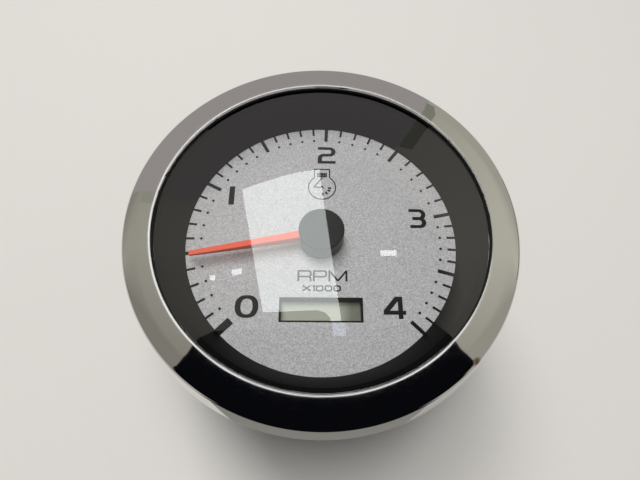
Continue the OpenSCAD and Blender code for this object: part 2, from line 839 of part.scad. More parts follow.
// Soft iron cup round the coils
module shield_can() {
    color([0.6, 0.6, 0.6])
        turned([
            [0, board_top], [shield_r, board_top], [shield_r, plate_high],
            [shield_r - shield_t, plate_high], [shield_r - shield_t, shield_floor], [0, shield_floor]
        ]);
}

// White moulded box behind the dial
module light_box() {
    inner = light_box_r - light_box_wall;
    low = board_top - cut;
    high = board_top + box_floor_t + cut;
    color([0.93, 0.93, 0.91])
        difference() {
            union() {
                turned([
                    [0, board_top], [light_box_r, board_top], [light_box_r, dial_back],
                    [inner, dial_back], [inner, board_top + box_floor_t], [0, board_top + box_floor_t]
                ]);
                for (s = [-1, 1]) translate([s * peg_at, 0, 0])
                    rod(peg_r, dial_back - eps, dial_z - seat_gap);
            }
            rod(shield_r + box_room, low, high, round_fn);
            at_window() block(frame_w + 2 * box_room, frame_h + 2 * box_room, low, high);
            at_lamp() rod(holder_r, low, high);
            at_corners(post_at, post_at) rod(screw_head_r + box_room, low, high);
        }
}

// Round board with holes for the lamp, its screws and the terminal pins
module circuit_board() {
    color([0.1, 0.35, 0.2])
        difference() {
            rod(board_r, board_back, board_top, round_fn);
            at_lamp() rod(holder_r, board_back - cut, board_top + cut);
            at_corners(post_at, post_at) rod(screw_r + screw_room, board_back - cut, board_top + cut);
        }
}

// Driver chip with its leads, on the rear of the board
module driver_chip() {
    color([0.08, 0.08, 0.09])
        block(chip_w, chip_d, board_back - chip_h, board_back - seat_gap);
    color([0.7, 0.7, 0.7])
        for (i = [0:leads_per_side - 1], s = [-1, 1])
            translate([(i - (leads_per_side - 1) / 2) * lead_pitch, s * (chip_d + lead_reach) / 2, 0])
                block(lead_w, lead_reach + 2 * eps, board_back - chip_h / 2, board_back);
}

// Two electrolytic capacitors on the rear of the board
module capacitors() {
    groove_z = board_back - 4 * capacitor_groove;
    color([0.15, 0.17, 0.3])
        for (s = [-1, 1]) translate([-capacitor_x, s * capacitor_y, 0])
            turned([
                [0, board_back], [capacitor_r, board_back], [capacitor_r, groove_z + capacitor_groove],
                [capacitor_r - capacitor_groove, groove_z], [capacitor_r, groove_z - capacitor_groove],
                [capacitor_r, board_back - capacitor_h], [0, board_back - capacitor_h]
            ], small_fn);
}

// Voltage regulator standing on its leads, with its cooling tab
module regulator() {
    front = board_back - regulator_lead;
    rear = front - regulator_h;
    color([0.1, 0.1, 0.1])
        translate([regulator_x, 0, 0]) {
            block(regulator_t, regulator_w, rear, front);
            translate([(regulator_t - tab_t) / 2, 0, 0]) difference() {
                block(tab_t, regulator_w, rear - tab_h, rear + eps);
                translate([-tab_t, 0, rear - tab_h / 2]) rotate([0, 90, 0])
                    cylinder(r = tab_hole_r, h = 2 * tab_t, $fn = small_fn);
            }
            for (i = [-1:1]) translate([0, i * regulator_pitch, 0])
                block(pin_r, pin_r, front - eps, board_back);
        }
}

// Trimmer that the calibrator turns
module trimmer() {
    color([0.15, 0.35, 0.6])
        at_calibrator() difference() {
            block(trimmer_w, trimmer_w, board_back - trimmer_h, board_back);
            rod(calibrator_shaft_r + holder_play, board_back - trimmer_h - cut, socket_low);
        }
}

// Round-headed screws that hold the board on its posts
module board_screws() {
    end = board_back - screw_len;
    head_top = board_top + screw_head_h;
    color([0.6, 0.6, 0.62])
        at_corners(post_at, post_at) turned([
            [0, end], [screw_r, end], [screw_r, board_top],
            [screw_head_r, board_top], [screw_head_r, head_top - screw_head_h / 2],
            [screw_head_r - screw_head_h / 2, head_top], [0, head_top]
        ], small_fn);
}

// Moulded can with its flange, board posts, stud pads and bayonet hole
module housing() {
    mouth = can_inner_r + mouth_step;
    inner_rear = rear_r - can_wall;
    inner_corner = can_corner_r - can_wall / 2;
    back = pad_back - cut;
    front = floor_top + cut;
    corner_c = [rear_r - can_corner_r, can_back + can_corner_r];
    inner_c = [inner_rear - inner_corner, floor_top + inner_corner];
    color([0.1, 0.1, 0.11])
        difference() {
            union() {
                turned(concat(
                    [
                        [mouth, flange_top], [flange_r, flange_top], [flange_r, rim_top],
                        [barrel_r + spigot_w, rim_top], [barrel_r + spigot_w, seat_gap],
                        [barrel_r, seat_gap], [barrel_r, -barrel_len]
                    ],
                    arc(corner_c, can_corner_r, 0, -90, 8),
                    [[0, can_back], [0, floor_top]],
                    arc(inner_c, inner_corner, -90, 0, 5),
                    [[can_inner_r, -barrel_len], [can_inner_r, dial_z]]
                ));
                at_corners(post_at, post_at) rod(post_r, floor_top - eps, board_back);
                for (sx = [-1, 1], sy = [-1, 1]) post_rib(sx, sy);
                at_studs() rod(stud_pad_r, pad_back, can_back + eps);
                at_corners(terminal_x, terminal_y) rod(terminal_pad_r, pad_back, can_back + eps);
            }
            at_corners(post_at, post_at) rod(screw_r, board_back - screw_len - cut, board_back + cut);
            at_studs() rod(stud_r, back, front);
            at_corners(terminal_x, terminal_y) rod(neck_r, back, front);
            at_lamp() {
                rod(holder_r + holder_play, back, front);
                rotate([0, 0, lug_turn]) lamp_lugs(lug_w + lug_room, lug_angle + lug_slack, back, front);
            }
            at_calibrator() rod(calibrator_r + holder_play, back, front);
        }
}

// Rib that ties a board post to the wall
module post_rib(sx, sy) {
    reach = rear_r - can_wall / 3;
    rotate([0, 0, atan2(sy, sx)])
        translate([post_at * sqrt(2), -rib_t / 2, floor_top - eps])
            cube([reach - post_at * sqrt(2), rib_t, rib_h]);
}

// Rubber ring between the bezel's rear and the panel
module panel_gasket() {
    inner = barrel_r + spigot_w + seat_gap / 2;
    outer = bezel_r - seat_gasket_inset;
    step = bezel_r - sheet_t - fold_w + fold_r - seat_gap;
    color([0.07, 0.07, 0.07])
        turned([
            [inner, 0], [outer, 0], [outer, seat_gasket_t],
            [step, seat_gasket_t], [step, rim_top], [inner, rim_top]
        ]);
}

// Threaded studs with a flat head inside the can
module mounting_studs() {
    color([0.78, 0.68, 0.4])
        at_studs() turned([
            [0, stud_tip], [stud_r - chamfer, stud_tip], [stud_r, stud_tip + chamfer], [stud_r, floor_top],
            [stud_r + stud_head_w, floor_top], [stud_r + stud_head_w, floor_top + stud_head_t],
            [0, floor_top + stud_head_t]
        ], small_fn);
}

// Terminal studs, each with a plain neck under its nut and a pin up to the board
module terminal_studs() {
    head_r = terminal_r + terminal_head_w;
    head_top = floor_top + terminal_head_t;
    color([0.78, 0.68, 0.4])
        at_corners(terminal_x, terminal_y) turned([
            [0, stud_tip], [terminal_r - chamfer, stud_tip], [terminal_r, stud_tip + chamfer],
            [terminal_r, nut_back], [neck_r, nut_back], [neck_r, floor_top], [head_r, floor_top],
            [head_r, head_top], [pin_r, head_top], [pin_r, board_back], [0, board_back]
        ], small_fn);
}

module terminal_washers() {
    color([0.75, 0.75, 0.74])
        at_corners(terminal_x, terminal_y)
            ring(neck_r, terminal_r + washer_w, washer_back, pad_back, small_fn);
}

module terminal_nuts() {
    color([0.75, 0.66, 0.42])
        at_corners(terminal_x, terminal_y) difference() {
            translate([0, 0, nut_back]) cylinder(r = nut_r, h = nut_h, $fn = 6);
            rod(neck_r, nut_back - cut, washer_back + cut);
        }
}

// Bent strap: a bridge across the studs, a leg down each side and a foot turned out along the panel
module bracket() {
    color([0.62, 0.62, 0.6])
        difference() {
            rotate([90, 0, 0]) translate([0, 0, -strap_w / 2]) linear_extrude(strap_w) strap_outline();
            at_studs() rod(stud_r + strap_play, strap_back - cut, strap_front + cut);
        }
}

module strap_outline() {
    outer_x = leg_x + strap_t;
    bend_out = bend_r + strap_t;
    translate([-outer_x + bend_out, strap_back]) square([2 * (outer_x - bend_out), strap_t]);
    for (s = [0, 1]) mirror([s, 0]) {
        translate([outer_x - bend_out, strap_back + bend_out]) bend(-90);
        translate([leg_x, strap_back + bend_out]) square([strap_t, foot_front - strap_back - 2 * bend_out]);
        translate([outer_x + bend_r, foot_front - bend_out]) bend(90);
        translate([outer_x + bend_r, foot_front - strap_t]) square([foot_len, strap_t]);
    }
}

// Quarter of a bend in the strap, from the given angle on
module bend(turn) {
    intersection() {
        difference() {
            circle(r = bend_r + strap_t, $fn = small_fn);
            circle(r = bend_r, $fn = small_fn);
        }
        rotate(turn) square(2 * (bend_r + strap_t));
    }
}

// Thumb nut with a grooved rim and a turned collar that bears on the strap
module thumb_nut() {
    bore = stud_r + thread_play;
    collar_r = thumb_r - collar_inset;
    collar_back = strap_back - collar_h;
    difference() {
        turned([
            [bore, thumb_back], [thumb_r - chamfer, thumb_back], [thumb_r, thumb_back + chamfer],
            [thumb_r, collar_back - chamfer], [thumb_r - chamfer, collar_back], [collar_r, collar_back],
            [collar_r, strap_back - press_gap], [bore, strap_back - press_gap]
        ], small_fn);
        for (i = [0:grip_count - 1])
            rotate([0, 0, 360 * i / grip_count]) translate([thumb_r + groove_out, 0, 0])
                rod(groove_r, thumb_back - cut, collar_back, groove_fn);
    }
}

module thumb_nut_left() {
    color([0.8, 0.7, 0.42]) translate([-stud_at, 0, 0]) thumb_nut();
}

module thumb_nut_right() {
    color([0.8, 0.7, 0.42]) translate([stud_at, 0, 0]) thumb_nut();
}

// Lugs of the lamp holder's twist lock
module lamp_lugs(reach, angle, low, high) {
    for (s = [0, 180]) rotate([0, 0, s - angle / 2])
        translate([0, 0, low]) rotate_extrude(angle = angle, $fn = small_fn)
            translate([holder_r - lug_w / 2, 0]) square([lug_w / 2 + reach, high - low]);
}

// Twist-in lamp holder with a finger grip behind its flange
module lamp_holder() {
    flange_edge = holder_r + holder_flange_w;
    lug_low = floor_top + seat_gap;
    color([0.9, 0.88, 0.8])
        at_lamp() difference() {
            union() {
                turned([
                    [0, grip_back], [grip_r - chamfer, grip_back], [grip_r, grip_back + chamfer],
                    [grip_r, holder_back], [flange_edge, holder_back], [flange_edge, holder_front],
                    [holder_r, holder_front], [holder_r, holder_mouth - chamfer],
                    [holder_r - chamfer, holder_mouth], [0, holder_mouth]
                ], small_fn);
                lamp_lugs(lug_w, lug_angle, lug_low, lug_low + lug_t);
                for (s = [0, 90]) rotate([0, 0, s])
                    block(wing_span, wing_t, grip_back + wing_inset, holder_back + eps);
            }
            rod(bulb_base_r, bulb_base, holder_mouth + cut);
        }
}

// Wedge-base lamp
module lamp_bulb() {
    tip = bulb_base + bulb_len;
    base_top = bulb_base + base_len;
    color([0.95, 0.93, 0.8, 0.6])
        at_lamp() turned(concat(
            [
                [0, bulb_base], [bulb_base_r, bulb_base],
                [bulb_base_r, base_top], [bulb_r, base_top + base_taper]
            ],
            arc([0, tip - bulb_r], bulb_r, 0, 90, 10)
        ), small_fn);
}

// Two flat blades behind the lamp holder
module lamp_contacts() {
    color([0.8, 0.72, 0.5])
        at_lamp() for (s = [-1, 1])
            translate([s * blade_at, 0, 0]) block(blade_t, blade_w, grip_back - blade_len, grip_back);
}

// Calibrator: a slotted head in the can's rear and a shaft to the trimmer
module calibrator() {
    head_back = can_back - calibrator_rise;
    collar_r = calibrator_r + calibrator_collar_w;
    collar_low = floor_top + seat_gap;
    collar_high = collar_low + calibrator_collar_t;
    shaft_end = socket_low - seat_gap;
    color([0.85, 0.85, 0.82])
        at_calibrator() difference() {
            turned([
                [0, head_back], [calibrator_r - fine_chamfer, head_back],
                [calibrator_r, head_back + fine_chamfer], [calibrator_r, collar_low],
                [collar_r, collar_low], [collar_r, collar_high],
                [calibrator_shaft_r, collar_high], [calibrator_shaft_r, shaft_end], [0, shaft_end]
            ], small_fn);
            block(2 * calibrator_r, slot_w, head_back - cut, head_back + slot_depth);
        }
}

bezel();
lens_gasket();
lens();
shadow_ring();
dial_plate();
scale_print();
lcd_frame();
lcd_panel();
lcd_strips();
pointer();
pointer_cap();
spindle();
rotor_magnet();
bobbin_front();
bobbin_rear();
coil_inner();
coil_outer();
front_bush();
rear_bush();
shield_can();
light_box();
circuit_board();
driver_chip();
capacitors();
regulator();
trimmer();
board_screws();
housing();
panel_gasket();
mounting_studs();
terminal_studs();
terminal_washers();
terminal_nuts();
bracket();
thumb_nut_left();
thumb_nut_right();
lamp_holder();
lamp_bulb();
lamp_contacts();
calibrator();
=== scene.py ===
import math

import bmesh
import bpy
from mathutils import Matrix, Vector


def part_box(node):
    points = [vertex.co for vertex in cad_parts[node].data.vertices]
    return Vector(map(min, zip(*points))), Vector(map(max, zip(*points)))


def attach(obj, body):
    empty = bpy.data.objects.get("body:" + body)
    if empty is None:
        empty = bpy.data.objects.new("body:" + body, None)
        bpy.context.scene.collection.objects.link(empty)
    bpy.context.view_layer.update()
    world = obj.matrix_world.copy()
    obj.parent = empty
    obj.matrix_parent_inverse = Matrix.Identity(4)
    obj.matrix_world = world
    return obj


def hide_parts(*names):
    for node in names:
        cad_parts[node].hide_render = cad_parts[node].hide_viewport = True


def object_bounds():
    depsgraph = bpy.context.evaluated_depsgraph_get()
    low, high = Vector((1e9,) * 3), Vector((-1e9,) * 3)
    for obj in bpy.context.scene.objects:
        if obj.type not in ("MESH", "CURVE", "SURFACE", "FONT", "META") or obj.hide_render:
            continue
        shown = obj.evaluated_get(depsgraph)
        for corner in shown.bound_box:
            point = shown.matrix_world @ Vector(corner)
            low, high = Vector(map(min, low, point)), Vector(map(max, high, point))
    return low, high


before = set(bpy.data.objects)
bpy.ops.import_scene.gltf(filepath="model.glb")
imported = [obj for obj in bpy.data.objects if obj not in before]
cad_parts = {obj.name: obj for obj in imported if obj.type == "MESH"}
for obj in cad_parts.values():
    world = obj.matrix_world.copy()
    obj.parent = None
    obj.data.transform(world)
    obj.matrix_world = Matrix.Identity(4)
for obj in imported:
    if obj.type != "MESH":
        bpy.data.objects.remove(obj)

MM = 0.001
CAD_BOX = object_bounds()


def low(node):
    """Level of a node's rear end."""
    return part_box(node)[0].z


def high(node):
    """Level of a node's front end."""
    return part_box(node)[1].z


def reach(node):
    """How far a node reaches to the right, which is a round one's outer radius."""
    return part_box(node)[1].x


# Bezel: its outside comes from the frame, its sheet and its bends are these sizes
BEZEL_R = reach("bezel")
FACE_W = 8.75 * MM
LIP_R = BEZEL_R - FACE_W
BEAD_RISE = 0.2 * MM
BEAD_LAND = 0.08 * MM
BEAD_EDGE = 0.03 * MM
BEAD_R = 0.08 * MM
BEAD_HOLD = 0.01 * MM
FACE_TOP = high("bezel") - BEAD_RISE
ROLL_R = 9.4 * MM
ROLL_FALL = 20.0
CORNER_R = 1.3 * MM
SIDE_LEAN = 10.0
SHEET = 0.7 * MM
FOLD_R = 1.0 * MM
FOLD_W = 4.1 * MM
RIM_R = BEZEL_R - SHEET - FOLD_W + FOLD_R

# Seals, lens and shadow ring
GASKET_SHOW = 0.25 * MM
GASKET_EDGE = 0.2 * MM
LENS_EDGE = 0.3 * MM
RING_WALL = 1.6 * MM
RING_LAND = 2.0 * MM
RING_EDGE = 0.2 * MM
RING_COVER = 2.3 * MM
VIEW_R = reach("dial_plate") - RING_COVER
FLANGE_TOP = high("housing")
BARREL_R = 42.2 * MM
SPIGOT_W = 0.8 * MM
SEAT_GAP = 0.1 * MM

# Print on the dial: its levels, and then pens and places in millimetres, across and up
INK_LOW = high("dial_plate")
INK_HIGH = high("scale_print")
INK_STEP = 0.004 * MM
INK_STEPS = 4
BOLD = Vector((1.25, 0.9))
BOLD_ZERO = Vector((1.5, 0.95))
FINE = Vector((0.52, 0.42))
SMALL = Vector((0.4, 0.36))
HAIR = Vector((0.32, 0.32))
DASH = Vector((0.55, 0.55))
MITRE_LIMIT = 0.3
FIGURES_AT = ((-19.4, -19.5), (-25.85, 13.6), (1.65, 27.85), (27.4, 6.65), (19.3, -19.6))
ZERO_HALF = Vector((2.3, 2.57))
ZERO_POWER = 0.82
ZERO_STEPS = 64
RPM_AT = (-6.3, -12.45)
LETTER_STEP = 4.15
THOUSANDS_AT = (-5.0, -15.25)
ONE_AT = 2.75
NOUGHTS_AT = (3.6, 5.95, 8.25)
SIGN_AT = (0.23, 16.6)

# Studs, washers and nuts
STUD_R = 2.41 * MM
STUD_HEAD_R = 4.41 * MM
STUD_HEAD_T = 1.8 * MM
STUD_PITCH = 0.794 * MM
STUD_AT = reach("mounting_studs") - STUD_HEAD_R
STUD_SEAT = high("mounting_studs") - STUD_HEAD_T
TERMINAL_R = 2.08 * MM
TERMINAL_HEAD_R = 3.28 * MM
TERMINAL_HEAD_T = 1.4 * MM
TERMINAL_PIN_R = 0.8 * MM
TERMINAL_PITCH = 0.706 * MM
TERMINAL_AT = Vector((reach("terminal_studs") - TERMINAL_HEAD_R, 18.0 * MM))
THREAD_DEPTH = 0.62
THREAD_GAP = 0.01 * MM
THREAD_SIDES = 4
TURN_STEPS = 28
NUT_FLATS = 7.6 * MM
NUT_FACE = 0.95
NUT_BEVEL = 30.0
NUT_STEPS = 72
HEX_TURN = math.radians(60)
WASHER_R = reach("terminal_washers") - TERMINAL_AT.x
CHAMFER = 0.5 * MM
FINE_EDGE = 0.12 * MM

# Clean meshes: distances within which points are one, and angles in degrees below which faces are one flat
# face, and above which edges are shaded sharp or eased
POLE_WELD = 0.0001 * MM
SOLID_WELD = 0.001 * MM
FLAT_ANGLE = 0.4
SHARP_ANGLE = 28.0
EASED_ANGLE = 35.0

# Pieces made from their node's own solid: node, finish, body and width of the eased edges
OWN_SOLIDS = {
    "housing_can": ("housing", "can_black", "root", 0.0),
    "clamp_bracket": ("bracket", "bracket_steel", "bracket", 0.2 * MM),
    "thumb_nut_left_knurled": ("thumb_nut_left", "stud_brass", "nut_left", 0.0),
    "thumb_nut_right_knurled": ("thumb_nut_right", "stud_brass", "nut_right", 0.0),
    "lamp_holder_moulding": ("lamp_holder", "holder_ivory", "lamp", 0.0),
    "lamp_contact_blades": ("lamp_contacts", "bush_brass", "lamp", 0.1 * MM),
    "calibrator_screw": ("calibrator", "calibrator_white", "calibrator", 0.0),
    "pointer_blade": ("pointer", "pointer_red", "pointer", 0.12 * MM),
    "pointer_hub_cap": ("pointer_cap", "cap_black", "pointer", 0.2 * MM),
}

# Grain of the finishes, and how far their roughness strays from its own value
GRAIN_DETAIL = 3.0
MOULD_SPREAD = (-0.05, 0.08)
METAL_SPREAD = (-0.06, 0.1)

# Chrome, with the sheet's waves and one bloom of rust
CHROME = "#D6D5D3"
CHROME_GLOSS = (0.01, 0.04)
WAVE_SIZE = 9.0 * MM
WAVE_DETAIL = 1.0
WAVE_RELIEF = 0.003 * MM
HAZE_SIZE = 6.0 * MM
HAZE_DETAIL = 4.0
RUST = "#8C5C36"
RUST_AT = Vector((35.0, -35.7, 10.4)) * MM
RUST_R = 0.35 * MM
RUST_SOFT = 1.1 * MM
RUST_SHARE = 0.85
RUST_DULL = 0.5

# Glass, lacquer and display
GLASS_IOR = 1.52
GLASS_FACES = 2.0
FLAKE_SIZE = 0.2 * MM
FLAKE_RELIEF = 0.006 * MM
FLAKE_SHARE = 1.8
CLOUD_SIZE = 0.5 * MM
LACQUER_RANGE = (0.3, 2.5)
# Painted shade on the display: its colour darkens towards its right end, from this place over this width
PAINTED_SHADE_START = 4.6 * MM
PAINTED_SHADE_FADE = 3.6 * MM

# Studio: a room of sheets round the gauge, in metres. Each edge of a cloth, or of the grey sheet of painted
# shadow, has its place and its half width
TABLE = CAD_BOX[0].z
TABLE_SIDE = 4.0
CEILING_H = 1.0
ROOM_SIDE = 2.0
ROOM_FRONT = -1.2
ROOM_BACK = 3.0
LAYER_STEP = 0.002
OLIVE_LAYER, SHADE_LAYER, MAUVE_LAYER, DARK_LAYER, LIGHT_LAYER = range(5)
MAUVE_START = 1.33
MAUVE_END = 1.45
MAUVE_CORNER = (0.237, 0.738)
MAUVE_RIGHT_EDGE = [(0.324, 0.876), (0.505, 1.196), (0.959, 2.067)]
SKIRTING = (0.2, 1.5)
SKIRTING_H = 0.35
LAP = TABLE + LAYER_STEP
# Grey sheet on the table in front: painted shadow of the gauge, which the bezel's near side mirrors
PAINTED_SHADOW_BACK = (-0.06, 0.16)
PAINTED_SHADOW_FRONT = (-0.1, 0.13)
BLACK_CLOTH_BACK = (-0.1, 0.1)
BLACK_CLOTH_FRONT = (ROOM_FRONT, 0.9)
ROOM_LEVEL = 0.18

# Olive paper: along an axis, from one place to another, its light changes from one share to another
OLIVE_CHANGES = {
    "right": ("X", (-0.5, 0.5), (0.76, 1.1)),
    "back": ("Y", (0.1, 0.42), (0.66, 1.0)),
    "far": ("Y", (0.5, 0.95), (1.0, 0.76)),
    "over dial": ("X", (-0.28, 0.2), (0.95, 0.2)),
}
DIAL_PATCH_AT = (0.01, 0.37, CEILING_H)
DIAL_PATCH_R = (0.31, 0.36)

# Window, lamps and hoop of the studio. The hoop's ends are angles in degrees, and it tapers over some steps
WINDOW_POWER = 3.8
LAMP_POWER = 5.0
BLUE_LAMP_POWER = 2.4
HOOP_POWER = 1.5
HOOP_W = 0.009
HOOP_START = 22.0
HOOP_END = 350.0
HOOP_STEPS = 180
HOOP_TAPER = 24
SOFTBOX_SIDE = 0.4

# Camera in the frame's own axes
CAMERA_AT = Vector((-2.18, -54.35, 116.84)) * MM
CAMERA_LENS = 26.37
CAMERA_SENSOR = 36.0
CAMERA_NEAR = 0.01
CAMERA_TILT = -24.518
CAMERA_SIDE = 0.951
CAMERA_ROLL = -0.114

# Sockets of a Mix node that mixes colours
MIX_A = 6
MIX_B = 7
MIX_OUT = 2


def linear(colour):
    """An sRGB hex colour as linear RGBA."""
    parts = [int(colour[i:i + 2], 16) / 255 for i in (1, 3, 5)]
    return (*[c / 12.92 if c <= 0.04045 else ((c + 0.055) / 1.055) ** 2.4 for c in parts], 1.0)


def add(tree, kind, inputs=None, **settings):
    """Adds one node. Each input is a plain value or another node's output."""
    node = tree.nodes.new(kind)
    for name, value in settings.items():
        setattr(node, name, value)
    for key, value in (inputs or {}).items():
        if isinstance(value, bpy.types.NodeSocket):
            tree.links.new(value, node.inputs[key])
        else:
            node.inputs[key].default_value = value
    return node


def placed(name, data):
    """A new object in the scene, at its origin."""
    made = bpy.data.objects.new(name, data)
    bpy.context.scene.collection.objects.link(made)
    return made


def points_mesh(name, points, faces=()):
    """A mesh of given points and flat faces."""
    mesh = bpy.data.meshes.new(name)
    mesh.from_pydata(points, [], faces)
    return mesh


def surface(tree, shader):
    """Makes a shader the surface of its material."""
    tree.links.new(shader.outputs[0], tree.nodes["Material Output"].inputs["Surface"])


def bare(name):
    """A material that has no shader yet."""
    material = bpy.data.materials.new(name)
    material.use_nodes = True
    tree = material.node_tree
    tree.nodes.remove(tree.nodes["Principled BSDF"])
    return material, tree


def finish_of(name, colour, roughness, **sockets):
    """A surface of one colour and gloss, to which its maker's marks are added."""
    material = bpy.data.materials.new(name)
    material.use_nodes = True
    shader = material.node_tree.nodes["Principled BSDF"]
    shader.inputs["Base Color"].default_value = linear(colour)
    shader.inputs["Roughness"].default_value = roughness
    for socket, value in sockets.items():
        shader.inputs[socket.replace("_", " ")].default_value = value
    return material, material.node_tree, shader


def grain(tree, shader, size, relief, shades=None, gloss=None, stretch=(1, 1, 1)):
    """Fine relief of one grain size in metres, with tint and gloss that vary with it."""
    place = add(tree, "ShaderNodeTexCoord").outputs["Object"]
    place = add(tree, "ShaderNodeMapping", {"Vector": place, "Scale": stretch}).outputs["Vector"]
    noise = add(tree, "ShaderNodeTexNoise", {"Vector": place, "Scale": 1 / size, "Detail": GRAIN_DETAIL})
    level = noise.outputs["Fac"]
    bump = add(tree, "ShaderNodeBump", {"Height": level, "Distance": relief})
    tree.links.new(bump.outputs["Normal"], shader.inputs["Normal"])
    if shades:
        ends = {MIX_A: linear(shades[0]), MIX_B: linear(shades[1])}
        tint = add(tree, "ShaderNodeMix", {"Factor": level, **ends}, data_type="RGBA")
        tree.links.new(tint.outputs[MIX_OUT], shader.inputs["Base Color"])
    if gloss:
        rough = add(tree, "ShaderNodeMapRange", {"Value": level, "To Min": gloss[0], "To Max": gloss[1]})
        tree.links.new(rough.outputs["Result"], shader.inputs["Roughness"])


def moulded(name, colour, roughness, texture=0.25 * MM, relief=0.012 * MM, shades=None, **sockets):
    """Injection moulded plastic: the mould's spark texture breaks its gloss into a fine satin. It is drawn
    a little coarser than it is, so that it shows."""
    material, tree, shader = finish_of(name, colour, roughness, **sockets)
    grain(tree, shader, texture, relief, shades, [roughness + stray for stray in MOULD_SPREAD])
    return material


def metal(name, colour, roughness, texture=0.3 * MM, relief=0.004 * MM, shades=None, stretch=(1, 1, 1)):
    """Bare or plated metal: tool marks or plating grain vary its colour and its gloss. They are drawn a
    little coarser than they are, so that they show."""
    material, tree, shader = finish_of(name, colour, roughness, Metallic=1.0)
    grain(tree, shader, texture, relief, shades, [roughness + stray for stray in METAL_SPREAD], stretch)
    return material


def spot(tree, place, centre, radius, soft):
    """One where a small mark lies, zero away from it."""
    near = add(tree, "ShaderNodeVectorMath", {0: place, 1: centre}, operation="DISTANCE").outputs["Value"]
    mask = add(tree, "ShaderNodeMapRange", {"Value": near, "From Min": radius, "From Max": radius + soft,
                                            "To Min": 1.0, "To Max": 0.0})
    return mask.outputs["Result"]


def chrome_plate():
    """Bright chrome on rolled steel: a mirror with the sheet's faint waves and one brown bloom of rust."""
    material, tree, shader = finish_of("bright_chrome_plate", CHROME, CHROME_GLOSS[0], Metallic=1.0)
    place = add(tree, "ShaderNodeTexCoord").outputs["Object"]
    waves = add(tree, "ShaderNodeTexNoise", {"Vector": place, "Scale": 1 / WAVE_SIZE, "Detail": WAVE_DETAIL})
    bump = add(tree, "ShaderNodeBump", {"Height": waves.outputs["Fac"], "Distance": WAVE_RELIEF})
    tree.links.new(bump.outputs["Normal"], shader.inputs["Normal"])
    rust = spot(tree, place, RUST_AT, RUST_R, RUST_SOFT)
    bloom = add(tree, "ShaderNodeMath", {0: rust, 1: RUST_SHARE}, operation="MULTIPLY").outputs["Value"]
    colour = add(tree, "ShaderNodeMix", {"Factor": bloom, MIX_A: linear(CHROME), MIX_B: linear(RUST)},
                 data_type="RGBA")
    tree.links.new(colour.outputs[MIX_OUT], shader.inputs["Base Color"])
    haze = add(tree, "ShaderNodeTexNoise", {"Vector": place, "Scale": 1 / HAZE_SIZE, "Detail": HAZE_DETAIL})
    plain = add(tree, "ShaderNodeMapRange", {"Value": haze.outputs["Fac"], "To Min": CHROME_GLOSS[0],
                                             "To Max": CHROME_GLOSS[1]}).outputs["Result"]
    rough = add(tree, "ShaderNodeMath", {0: bloom, 1: RUST_DULL, 2: plain}, operation="MULTIPLY_ADD")
    tree.links.new(rough.outputs["Value"], shader.inputs["Roughness"])
    return material


def float_glass():
    """Float glass: clear, with the reflection of both its faces in one Fresnel coat."""
    material, tree = bare("clear_float_glass")
    clear = add(tree, "ShaderNodeBsdfTransparent", {"Color": linear("#FCFCFC")})
    mirror = add(tree, "ShaderNodeBsdfAnisotropic", {"Color": linear("#FFFFFF"), "Roughness": 0.0})
    fresnel = add(tree, "ShaderNodeFresnel", {"IOR": GLASS_IOR}).outputs["Fac"]
    inside = add(tree, "ShaderNodeNewGeometry").outputs["Backfacing"]
    faces = add(tree, "ShaderNodeMapRange", {"Value": inside, "To Min": GLASS_FACES, "To Max": 0.0})
    share = add(tree, "ShaderNodeMath", {0: faces.outputs["Result"], 1: fresnel}, operation="MULTIPLY",
                use_clamp=True)
    surface(tree, add(tree, "ShaderNodeMixShader", {0: share.outputs["Value"], 1: clear.outputs[0],
                                                    2: mirror.outputs[0]}))
    return material


def silver_lacquer():
    """Metallic lacquer on aluminium: flakes, each at its own shade, give the silver sparkle. Real flakes are
    finer, and these are drawn as coarse as they need to be to show."""
    material, tree, shader = finish_of("silver_flake_lacquer", "#C1C0C1", roughness=0.45, Metallic=0.12)
    place = add(tree, "ShaderNodeTexCoord").outputs["Object"]
    flakes = add(tree, "ShaderNodeTexVoronoi", {"Vector": place, "Scale": 1 / FLAKE_SIZE}).outputs["Color"]
    shade = add(tree, "ShaderNodeSeparateColor", {"Color": flakes}).outputs["Red"]
    cloud = add(tree, "ShaderNodeTexNoise", {"Vector": place, "Scale": 1 / CLOUD_SIZE,
                                             "Detail": GRAIN_DETAIL}).outputs["Fac"]
    both = add(tree, "ShaderNodeMath", {0: shade, 1: FLAKE_SHARE, 2: cloud}, operation="MULTIPLY_ADD")
    level = add(tree, "ShaderNodeMapRange", {"Value": both.outputs["Value"], "From Min": LACQUER_RANGE[0],
                                             "From Max": LACQUER_RANGE[1]}).outputs["Result"]
    tint = add(tree, "ShaderNodeMix", {"Factor": level, MIX_A: linear("#9C9B9C"), MIX_B: linear("#E0DFE0")},
               data_type="RGBA")
    tree.links.new(tint.outputs[MIX_OUT], shader.inputs["Base Color"])
    bump = add(tree, "ShaderNodeBump", {"Height": shade, "Distance": FLAKE_RELIEF})
    tree.links.new(bump.outputs["Normal"], shader.inputs["Normal"])
    return material


def display_glass():
    """Blank liquid crystal cell: grey-green reflector under polariser film, with painted shade that darkens
    its right end.
    """
    material, tree, shader = finish_of("liquid_crystal_cell", "#ABAF9F", roughness=0.3,
                                       Specular_IOR_Level=0.3)
    grain(tree, shader, size=0.15 * MM, relief=0.002 * MM, shades=("#A7AB9B", "#AFB3A3"), gloss=(0.3, 0.4))
    tint = shader.inputs["Base Color"].links[0].from_socket
    place = add(tree, "ShaderNodeTexCoord").outputs["Object"]
    across = add(tree, "ShaderNodeSeparateXYZ", {"Vector": place}).outputs["X"]
    past = add(tree, "ShaderNodeMapRange", {"Value": across, "From Min": PAINTED_SHADE_START,
                                            "From Max": PAINTED_SHADE_START + PAINTED_SHADE_FADE}).outputs["Result"]
    # Painted shade: the cell's tint goes to a darker grey-green towards its right end
    painted_shade = add(tree, "ShaderNodeMix", {"Factor": past, MIX_A: tint, MIX_B: linear("#75796D")},
               data_type="RGBA")
    tree.links.new(painted_shade.outputs[MIX_OUT], shader.inputs["Base Color"])
    return material


